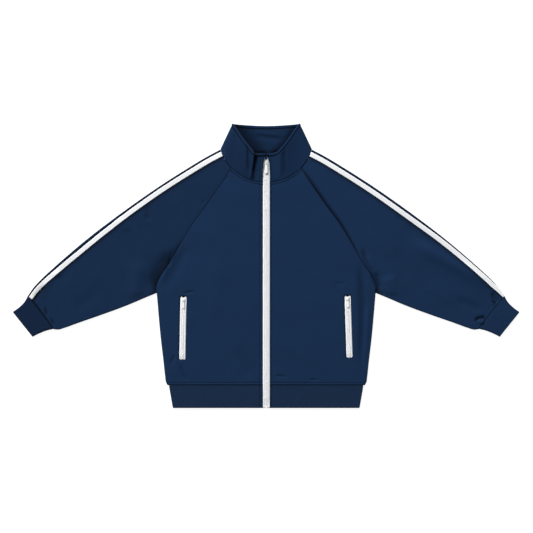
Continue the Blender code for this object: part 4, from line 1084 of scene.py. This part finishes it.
def capsules(name, starts, middles, ends, ups, radius, finish, flatten=1.0):
    """Many short rounded rods in one mesh, each bent through three points."""
    place, share = np.array(CAPSULE).T
    q = place[None, :, None]
    centre = (1 - q) ** 2 * starts[:, None] + q * q * ends[:, None]
    centre += 2 * q * (1 - q) * (2 * middles - (starts + ends) / 2)[:, None]
    ahead = unit(ends - starts)
    across = unit(np.cross(ups, ahead))
    up = np.cross(ahead, across)
    angle = (np.arange(RING) * 2 * math.pi / RING)[None, :, None]
    ring = across[:, None] * np.cos(angle) + up[:, None] * flatten * np.sin(angle)
    points = centre[:, :, None] + ring[:, None] * (share * radius)[None, :, None, None]
    last = (len(place) - 1) * RING
    base = np.arange(len(starts))[:, None] * (last + RING)
    k = np.arange(RING)
    j = np.arange(0, last, RING)[:, None]
    quad = np.stack([j + k, j + (k + 1) % RING, j + RING + (k + 1) % RING, j + RING + k], axis=-1)
    quads = (base[:, None, None] + quad[None]).reshape(-1, 4).tolist()
    faces = quads + (base + k[::-1]).tolist() + (base + last + k).tolist()
    return mesh_piece(name, points.reshape(-1, 3), faces, finish, [])


def laid(tree, plan, below):
    """Points of the plan on the surface, seen from above or from below, in millimetres, and their normals."""
    points, ups = [], []
    for x, y in plan:
        start = Vector((x * MM, y * MM, -0.05 if below else 0.1))
        hit, up, _, _ = tree.ray_cast(start, Vector((0, 0, 1.0 if below else -1.0)))
        points.append((np.nan,) * 3 if hit is None else tuple(value / MM for value in hit))
        ups.append((0, 0, 1) if hit is None else tuple(up))
    return np.array(points), np.array(ups, float)


def sewing(
    name, obj, lines, finish, radius=THREAD, pitch=THREAD_PITCH, length=THREAD_LENGTH, below=False
):
    """Topstitching along lines in plan, sunk into a piece's face."""
    starts, ends = [], []
    for line in lines:
        total = float(np.sum(np.linalg.norm(np.diff(line, axis=0), axis=1)))
        places = np.arange(pitch / 2, total - length, pitch)
        for found, offset in ((starts, 0.0), (ends, length)):
            s = (places + offset) / total
            found.append(np.stack([np.interp(s, shares(line), line[:, k]) for k in (0, 1)], axis=1))
    starts, ends = np.concatenate(starts), np.concatenate(ends)
    tree = BVHTree.FromPolygons([v.co for v in obj.data.vertices], [p.vertices for p in obj.data.polygons])
    (a, up), (m, _), (b, _) = (laid(tree, plan, below) for plan in (starts, (starts + ends) / 2, ends))
    heights = np.stack([a[:, 2], m[:, 2], b[:, 2]])
    good = ~np.isnan(heights.sum(axis=0)) & (np.ptp(heights, axis=0) < STITCH_STEP)
    a, m, b, up = a[good], m[good], b[good], up[good]
    sunk = up * radius * 0.9
    crown, facing = (0.0, -1.0) if below else (up * radius * 0.25, 1.0)
    made = capsules(name, a - sunk, m + crown, b - sunk, up * facing, radius, finish)
    joined(made)


# ---------------------------------------------------------------- zips

BEAD_RISE = 0.16
BEAD_PLACE = 1.1
BEAD_HALF_WIDTH = 0.5
CORE_HALF = 0.62
CORE_DROP = 0.35


def zip_level(y):
    """Mid height of the front zip's tapes, under the band, the fronts and the collar, as in the solids."""
    body = LAYER_RISE + neck_lift(np.full_like(y, ZIP_HALF_WIDTH), y)
    seam, edge = COLLAR_LEFT_FRONT[-1]
    neck = np.interp(y, [seam[1], edge[1]], [seam[2], edge[2]]) - COLLAR / 2
    return np.where(y < NECK_FRONT[0][1], np.minimum(body, neck), neck) - TAPE_GAP - TAPE / 2


def bulge(y, low, high, reach):
    """How far the open part of a zip rises between the edges of the cloth, from nothing at low and high."""
    return ZIP_BULGE * ease((y - low) / reach) * ease((high - y) / reach)


def placed(points, start, down):
    """Points given along a zip, moved to its place: down is its direction in plan, to its lower end."""
    x, y, z = points[..., 0], points[..., 1], points[..., 2]
    moved = (start[0] - x * down[1] - y * down[0], start[1] + x * down[0] - y * down[1], start[2] + z)
    return np.stack(moved, axis=-1)


def zip_shell(name, x, y, z, outer, inner, place, finish):
    """A wall with columns at x and rows at y along a zip, moved to the zip's place."""
    start, down = place
    grid = np.dstack([*np.meshgrid(x, y), z])
    moved, normal = placed(grid, start, down), placed(normals(grid, 2, 2), np.zeros(3), down)
    return shell(name, moved, normal, outer, inner, grid[..., :2], finish)


def tape_strip(name, bead, selvedge, y, z, rise, place, finish):
    """One half of a zip's tape: a thin woven strip that is thicker at the bead beside the chain."""
    low, high = sorted((bead, selvedge))
    x = np.linspace(low, high, 15)
    wave = 0.06 * np.sin(y / 5.1)[:, None] * np.sin(x / 2.9)[None]
    open_part = 1 - ease((np.abs(x) - BULGE_HALF_WIDTH) / 2.4)
    half = TAPE / 2 * np.clip(0.5 + np.minimum(x - low, high - x) / 0.8, 0, 1)[None]
    outer = half + BEAD_RISE * np.exp(-(((np.abs(x - bead) - BEAD_PLACE) / BEAD_HALF_WIDTH) ** 2))
    z = z[:, None] + wave + rise[:, None] * open_part[None]
    return zip_shell(name, x, y, z, outer, half, place, finish)


TOOTH_PITCH = 1.45
TOOTH = 0.5  # radius
# Its outer end, middle and inner end: across, along and up.
TOOTH_BEND = ((2.55, -0.18, 0.35), (1.3, 0.0, 0.62), (-0.12, 0.18, 0.42))


def chain_teeth(name, y_low, y_high, level, place, finish):
    """The coil: two rows of rounded loops that meet in the middle, over the tapes' beads."""
    y = np.arange(y_low + TOOTH_PITCH / 2, y_high - TOOTH_PITCH / 2, TOOTH_PITCH)
    ends = []
    for across, along, up in TOOTH_BEND:
        rows = []
        for side, _ in SIDES:
            row = y + TOOTH_PITCH / 4 * side
            rows.append(np.stack([np.full_like(row, side * across), row + along, level(row) + up], axis=1))
        ends.append(placed(np.concatenate(rows), *place))
    ups = np.tile(np.array([0.0, 0.0, 1.0]), (len(ends[0]), 1))
    joined(capsules(name, *ends, ups, TOOTH, finish, flatten=0.75))


def chain_core(name, node, y, z, place, finish):
    """The coil's underside and its core cord, below the teeth."""
    x = np.linspace(-CHAIN_HALF_WIDTH, CHAIN_HALF_WIDTH, 9)
    share = np.abs(x) / (CHAIN_HALF_WIDTH + 0.1)
    half = CORE_HALF * np.sqrt(np.maximum(1 - share**4, 0.05))[None]
    z = np.tile(z[:, None] - CORE_DROP, (1, len(x)))
    sewn_in(zip_shell(name, x, y, z, half, half, place, finish), node)


# ---------------------------------------------------------------- materials

SHEEN_INPUTS = ("Sheen Weight", "Sheen Roughness", "Sheen Tint")


class Finish:
    """A material while it is made: its node tree, and what the materials share. Pitches are in metres."""

    def __init__(self, name, colour, roughness, specular, sheen=()):
        self.material = bpy.data.materials.new(name)
        self.material.use_nodes = True
        self.tree = self.material.node_tree
        self.shader = self.tree.nodes["Principled BSDF"]
        names = ("Base Color", "Roughness", "Specular IOR Level", *SHEEN_INPUTS)
        for input_name, value in zip(names, ((*colour, 1.0), roughness, specular, *sheen)):
            self.shader.inputs[input_name].default_value = value
        self.place = self.node("TexCoord").outputs["Object"]

    def node(self, kind, **inputs):
        """A new shader node, with its inputs joined to sockets or set to values."""
        made = self.tree.nodes.new("ShaderNode" + kind)
        for name, value in inputs.items():
            self.give(made.inputs[name], value)
        return made

    def give(self, socket, value):
        if isinstance(value, bpy.types.NodeSocket):
            self.tree.links.new(value, socket)
        else:
            socket.default_value = value

    def calc(self, operation, *values):
        made = self.node("Math")
        made.operation = operation
        for socket, value in zip(made.inputs, values):
            self.give(socket, value)
        return made.outputs[0]

    def wave(self, value, pitch):
        return self.calc("SINE", self.calc("MULTIPLY", value, 2 * math.pi / pitch))

    def noise(self, scale, detail=2.0):
        return self.node("TexNoise", Vector=self.place, Scale=scale, Detail=detail).outputs["Fac"]

    def layer(self, name):
        """Both numbers of one of the mesh's UV layers."""
        uv = self.node("UVMap")
        uv.uv_map = name
        parts = self.node("SeparateXYZ", Vector=uv.outputs["UV"])
        return parts.outputs["X"], parts.outputs["Y"]

    def varied(self, value, amount):
        """A factor round 1 that varies by an amount with a value from 0 to 1."""
        return self.calc("MULTIPLY_ADD", value, amount, 1 - amount / 2)

    def painted_shade_factor(self):
        """1 on open cloth, less where shade is painted at a seam or crease, and a little more where light is
        painted on a roll.
        """
        return self.calc("SUBTRACT", 1.0, self.layer("seams")[0])

    def done(self, colour, factors, height, strength, distance):
        """The material with its colour times all the factors, and a bump from the height."""
        factor = factors[0]
        for other in factors[1:]:
            factor = self.calc("MULTIPLY", factor, other)
        scaled = self.node("VectorMath")
        scaled.operation = "SCALE"
        self.give(scaled.inputs[0], colour)
        self.give(scaled.inputs["Scale"], factor)
        self.give(self.shader.inputs["Base Color"], scaled.outputs[0])
        bump = self.node("Bump", Strength=strength, Distance=distance, Height=height)
        self.give(self.shader.inputs["Normal"], bump.outputs["Normal"])
        return self.material


def knit_material(name, colour, loop_size, grain):
    """Weft knit: columns of chevron stitches, with a fine mottle of the yarn and slow unevenness of dye."""
    made = Finish(name, colour, 0.82, 0.06, (0.05, 0.45, (0.35, 0.5, 0.8, 1.0)))
    u, v = made.layer("cloth")
    across = made.calc("DIVIDE", u, loop_size)
    column = made.calc("MULTIPLY", made.calc("PINGPONG", across, 0.5), 2.0)
    turn = made.calc("ADD", made.calc("DIVIDE", v, loop_size), made.calc("MULTIPLY", column, 0.55))
    height = made.calc("ADD", made.calc("MULTIPLY", made.wave(turn, 1.0), 0.35), made.wave(column, 2.0))
    fine, mottle, slow = made.noise(1400.0), made.noise(260.0, 3.0), made.noise(14.0)
    # The colour follows the stitch pattern's height, darker where the stitches lie low: painted shade between
    # them.
    factors = [made.calc("MULTIPLY_ADD", height, 0.07, 0.96), made.varied(fine, grain)]
    factors += [made.varied(mottle, grain), made.varied(slow, 0.1), made.painted_shade_factor()]
    return made.done(colour, factors, made.calc("ADD", height, fine), 0.25, 0.00012)


def rib_material(name, colour):
    """Fine double rib: narrow upright ribs with small stitches along them."""
    made = Finish(name, colour, 0.88, 0.06, (0.06, 0.5, (0.35, 0.45, 0.65, 1.0)))
    u, v = made.layer("cloth")
    rib = made.calc("ABSOLUTE", made.wave(u, 0.0028))
    height = made.calc("ADD", rib, made.calc("MULTIPLY", made.wave(v, 0.0011), 0.25))
    fine, mottle = made.noise(900.0), made.noise(330.0, 3.0)
    # The colour is darker in the grooves between the ribs: painted shade.
    factors = [made.calc("MULTIPLY_ADD", rib, 0.16, 0.9), made.varied(fine, 0.3), made.varied(mottle, 0.5)]
    factors.append(made.painted_shade_factor())
    return made.done(colour, factors, made.calc("ADD", height, fine), 0.3, 0.0002)


def twill_material(name, edge_colour, middle_colour):
    """Woven tape: smooth white edges and a middle band of fine diagonal twill, a little greyer."""
    made = Finish(name, edge_colour, 0.6, 0.25)
    u, v = made.layer("cloth")
    off = made.calc("ABSOLUTE", made.calc("SUBTRACT", u, STRIPE_WIDTH / 2 * MM))
    band = made.calc("MULTIPLY", off, 1 / (0.26 * STRIPE_WIDTH * MM))
    ramp = made.node("MapRange", Value=made.calc("SMOOTH_MIN", band, 2.0, 0.1))
    ramp.interpolation_type = "SMOOTHSTEP"
    ramp.inputs["From Min"].default_value = 0.9
    ramp.inputs["From Max"].default_value = 1.15
    mix = made.node("Mix")
    mix.data_type = "RGBA"
    made.give(mix.inputs["A"], (*middle_colour, 1.0))
    made.give(mix.inputs["B"], (*edge_colour, 1.0))
    made.give(mix.inputs["Factor"], ramp.outputs["Result"])
    line, fine = made.wave(made.calc("ADD", u, v), 0.0012), made.noise(1500.0)
    factors = [made.calc("MULTIPLY_ADD", line, 0.035, 0.985), made.varied(fine, 0.06)]
    return made.done(mix.outputs["Result"], factors, made.calc("ADD", line, fine), 0.25, 0.0001)


def tape_material(name, colour):
    """Zip tape: a close plain weave with fine ribs along the zip."""
    made = Finish(name, colour, 0.6, 0.25)
    u, v = made.layer("cloth")
    height = made.calc("ADD", made.wave(u, 0.0009), made.calc("MULTIPLY", made.wave(v, 0.0006), 0.5))
    factors = [made.calc("MULTIPLY_ADD", height, 0.02, 0.985), made.varied(made.noise(1500.0), 0.05)]
    return made.done(colour, factors, height, 0.25, 0.0001)


def plain_material(name, colour, roughness, specular, scale, grain, strength=0.1):
    """Thread and moulded or enamelled parts, with a faint unevenness."""
    made = Finish(name, colour, roughness, specular)
    fine = made.noise(scale)
    return made.done(colour, [made.varied(fine, grain)], fine, strength, 0.00005)


# ---------------------------------------------------------------- the whole

NAVY = (0.0069, 0.0230, 0.0630)
NAVY_RIB = (0.0082, 0.0208, 0.0512)
NAVY_CUFF = (0.0072, 0.0222, 0.0610)
NAVY_THREAD = (0.0045, 0.0150, 0.0400)
WHITE = (0.83, 0.84, 0.855)
TAPE_GREY = (0.757, 0.768, 0.79)
COIL_GREY = (0.885, 0.893, 0.915)
SEAM_MARGIN = 1.5  # stitches end this far from a seam
HEM_LINE_END = 235.0
BACK_LINE_END = 234.0


def plain_sewing(pieces, thread):
    """Topstitching in the navy cloth."""
    hem_y = HEM_Y + HEM_STITCH
    for side, suffix in SIDES:
        x = ZIP_HALF_WIDTH + PLACKET_STITCH[side]
        neck = smooth(NECK_FRONT, np.linspace(0, 1, 60))
        neck += inward(neck, np.array([60.0, 100.0])) * (NECK_STITCH + SEAM_GAP / 2)
        up_front = np.array([(x, HEM_Y + SEAM_MARGIN), (x, 199.0)])
        hem = np.array([(x, hem_y), (HEM_LINE_END, hem_y)])
        lines = [line * np.array([side, 1.0]) for line in (neck[neck[:, 0] > x], up_front, hem)]
        sewing("thread_front_" + suffix, pieces["front_" + suffix], lines, thread)
        band = np.array([(x, BAND_BOTTOM_Y + 2.0), (x, HEM_Y - SEAM_MARGIN)]) * np.array([side, 1.0])
        sewing("thread_band_" + suffix, pieces["hem_band"], [band], thread)
    hem = np.array([(-BACK_LINE_END, hem_y), (BACK_LINE_END, hem_y)])
    neck = smooth(NECK_BACK, np.linspace(0, 1, 40))
    neck = np.concatenate([(neck * np.array([-1.0, 1.0]))[::-1], neck[1:]]) - np.array([0.0, NECK_STITCH])
    sewing("thread_back", pieces["back"], [hem, neck], thread, below=True)


def collar_sewing(piece, thread):
    """Topstitching inside the collar's top edge and beside the zip, on the side that shows."""
    stations = collar_stations()
    places = np.arange(len(stations), dtype=float)
    t = np.linspace(0, places[-1], 400)
    seam, edge = (curve_at(stations[:, k], places, t)[:, :2] for k in (0, 1))
    line = edge + unit(seam - edge) * COLLAR_STITCH
    parts = [line[(t > first) & (t < last)] for first, last in ((6.3, 11.2), (12.2, 16.8), (17.8, 24.6))]
    for side, _ in SIDES:
        x = (ZIP_HALF_WIDTH + 0.2 + PLACKET_STITCH[side]) * side
        parts.append(np.array([(x, 203.0), (x, ZIP_TOP_Y)]))
    sewing("thread_collar", piece, parts, thread)


def tape_sewing(stripes, thread):
    """Two lines along each sleeve tape, and a bar across its upper end."""
    edge, top, _ = sleeve_lines(RAGLAN_FRONT)
    out = -inward(top, (edge + top) / 2)
    over = KNIT / 2 + FOLD_RADIUS * (1 - math.pi / 2)
    for side, suffix in SIDES:
        first = at(STRIPE_OFFSETS[side], shares(top))

        def along_tape(into):
            return (top - out * (over + first + into)[:, None]) * np.array([side, 1.0])

        lines = [along_tape(into) for into in (1.3, STRIPE_WIDTH - 1.3)]
        lines.append(np.array([along_tape(into)[6] for into in (1.0, STRIPE_WIDTH - 1.0)]))
        sewing("thread_tape_" + suffix, stripes[suffix], lines, thread, radius=FINE_THREAD)


def pocket_sewing(pieces, thread):
    """A line of stitches round each pocket slot."""
    for side, suffix in SIDES:
        start, down, length = pocket_frame(side)
        out, low, high = POCKET_SLOT_HALF_WIDTH + POCKET_STITCH, -POCKET_STITCH, length + POCKET_STITCH
        loop = np.array([(-out, low), (out, low), (out, high), (-out, high), (-out, low)])
        loop = start + loop @ np.array([(-down[1], down[0]), down])
        lines = [loop[k : k + 2] for k in range(4)]
        piece = pieces["front_" + suffix]
        name = "thread_pocket_" + suffix
        sewing(name, piece, lines, thread, radius=FINE_THREAD, pitch=2.6, length=2.2)


def main_zip(tape, coil):
    box_top = BAND_BOTTOM_Y + ZIP_BOX_LENGTH
    bead = CHAIN_HALF_WIDTH + CHAIN_CLEARANCE
    upright = (np.zeros(3), np.array([0.0, -1.0]))

    def rise(y):
        return bulge(y, box_top, MAIN_SLIDER_Y - 8, 16.0)

    def level(y):
        return zip_level(y) + rise(y)

    y = np.linspace(BAND_BOTTOM_Y, ZIP_TOP_Y, 250)
    for side, suffix in SIDES:
        name = "tape_zip_" + suffix
        made = tape_strip(name, bead * side, TAPE_EDGE * side, y, zip_level(y), rise(y), upright, tape)
        sewn_in(made, "zip_tape_" + suffix)
    y = np.linspace(box_top + 0.3, MAIN_SLIDER_Y + 1.2, 220)
    chain_core("coil_core_zip", "zip_chain", y, level(y), upright, coil)
    chain_teeth("coil_zip", y[0], y[-1], level, upright, coil)


def pocket_zips(tape, coil):
    bead = CHAIN_HALF_WIDTH + CHAIN_CLEARANCE
    selvedge = POCKET_SLOT_HALF_WIDTH + POCKET_TAPE_OVERLAP
    for side, suffix in SIDES:
        start, down, length = pocket_frame(side)
        place = (np.array([*start, LAYER_RISE - TAPE_GAP - TAPE / 2]), down)

        def rise(y):
            return bulge(y, -length, -POCKET_SLIDER_DROP - 4, 10.0)

        y = np.linspace(-length - POCKET_TAPE_OVERLAP, POCKET_TAPE_OVERLAP, 70)
        for half, towards in (("outer", side), ("inner", -side)):
            name = f"tape_pocket_{half}_{suffix}"
            made = tape_strip(name, bead * towards, selvedge * towards, y, 0 * y, rise(y), place, tape)
            sewn_in(made, f"pocket_tape_{half}_{suffix}")
        y = np.linspace(-length + 0.5, -POCKET_SLIDER_DROP + 0.4, 60)
        chain_core("coil_core_pocket_" + suffix, "pocket_chain_" + suffix, y, rise(y), place, coil)
        chain_teeth("coil_pocket_" + suffix, y[0], y[-1], rise, place, coil)


def finish_sliders(enamel):
    """The sliders, pulls and box keep their own solids, with worn round edges and a better finish."""
    for name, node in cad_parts.items():
        if not name.startswith(("zip_slider", "zip_pull", "zip_box")):
            continue
        node.data.materials.clear()
        node.data.materials.append(enamel)
        soft = node.modifiers.new("soft_edges", "BEVEL")
        soft.width = 0.00018
        soft.segments = 2
        soft.limit_method = "ANGLE"
        soft.angle_limit = math.radians(35)


def lamp(name, azimuth, elevation, distance, size, power):
    """A square soft light that looks at the jacket's middle."""
    light = bpy.data.lights.new(name, "AREA")
    light.size = size
    light.energy = power
    made = bpy.data.objects.new(name, light)
    turn, tilt = math.radians(azimuth), math.radians(elevation)
    across = distance * math.cos(tilt)
    made.location = (across * math.cos(turn), across * math.sin(turn), distance * math.sin(tilt))
    made.rotation_euler = (-made.location).to_track_quat("-Z", "Y").to_euler()
    bpy.context.scene.collection.objects.link(made)


def studio():
    """A pale floor that glows like a light table, a soft key from the upper left, and the camera above."""
    bpy.ops.mesh.primitive_plane_add(size=9.0, location=(0, 0, -0.0004))
    floor = bpy.context.object
    floor.name = "floor"
    made = Finish("floor", (FLOOR_ALBEDO,) * 3, 0.9, 0.1)
    made.shader.inputs["Emission Color"].default_value = (1.0, 1.0, 1.0, 1.0)
    made.shader.inputs["Emission Strength"].default_value = FLOOR_GLOW
    floor.data.materials.append(made.material)
    world = bpy.data.worlds.new("studio")
    world.use_nodes = True
    sky = world.node_tree.nodes["Background"].inputs
    sky["Color"].default_value = (1.0, 1.0, 1.0, 1.0)
    sky["Strength"].default_value = AMBIENT
    bpy.context.scene.world = world
    lamp("key", *KEY_LIGHT)
    camera = bpy.data.cameras.new("camera")
    camera.lens = LENS
    camera.sensor_width = SENSOR
    camera.clip_end = 100.0
    eye = bpy.data.objects.new("camera", camera)
    height = FRAME_HEIGHT + FRAME_WIDTH / 2 * LENS / (SENSOR / 2)
    eye.location = (FRAME_CENTRE[0] * MM, FRAME_CENTRE[1] * MM, height * MM)
    bpy.context.scene.collection.objects.link(eye)
    bpy.context.scene.camera = eye
    bpy.context.scene.view_settings.view_transform = "Standard"


def main():
    knit = knit_material("navy_knit", NAVY, 0.0010, 0.16)
    rib = rib_material("navy_rib", NAVY_RIB)
    cuff_rib = rib_material("navy_cuff_rib", NAVY_CUFF)
    thread = plain_material("navy_thread", NAVY_THREAD, 0.6, 0.15, 2600.0, 0.3, 0.2)
    white_thread = plain_material("white_thread", WHITE, 0.6, 0.15, 2600.0, 0.3, 0.2)
    twill = twill_material("white_twill", WHITE, TAPE_GREY)
    tape = tape_material("zip_tape", WHITE)
    coil = plain_material("zip_coil", COIL_GREY, 0.35, 0.4, 800.0, 0.08)
    enamel = plain_material("white_enamel", WHITE, 0.28, 0.5, 400.0, 0.04)
    pieces, stripes = {}, {}
    pieces["back"] = back_panel(knit)
    for side, suffix in SIDES:
        pieces["front_" + suffix] = front_panel(side, suffix, knit)
        stripes[suffix] = sleeve(side, suffix, knit, twill)
        cuff(side, suffix, cuff_rib)
    pieces["hem_band"] = hem_band(rib)
    pieces["collar"] = collar(knit)
    main_zip(tape, coil)
    pocket_zips(tape, coil)
    finish_sliders(enamel)
    plain_sewing(pieces, thread)
    collar_sewing(pieces["collar"], thread)
    tape_sewing(stripes, white_thread)
    pocket_sewing(pieces, thread)
    studio()


main()
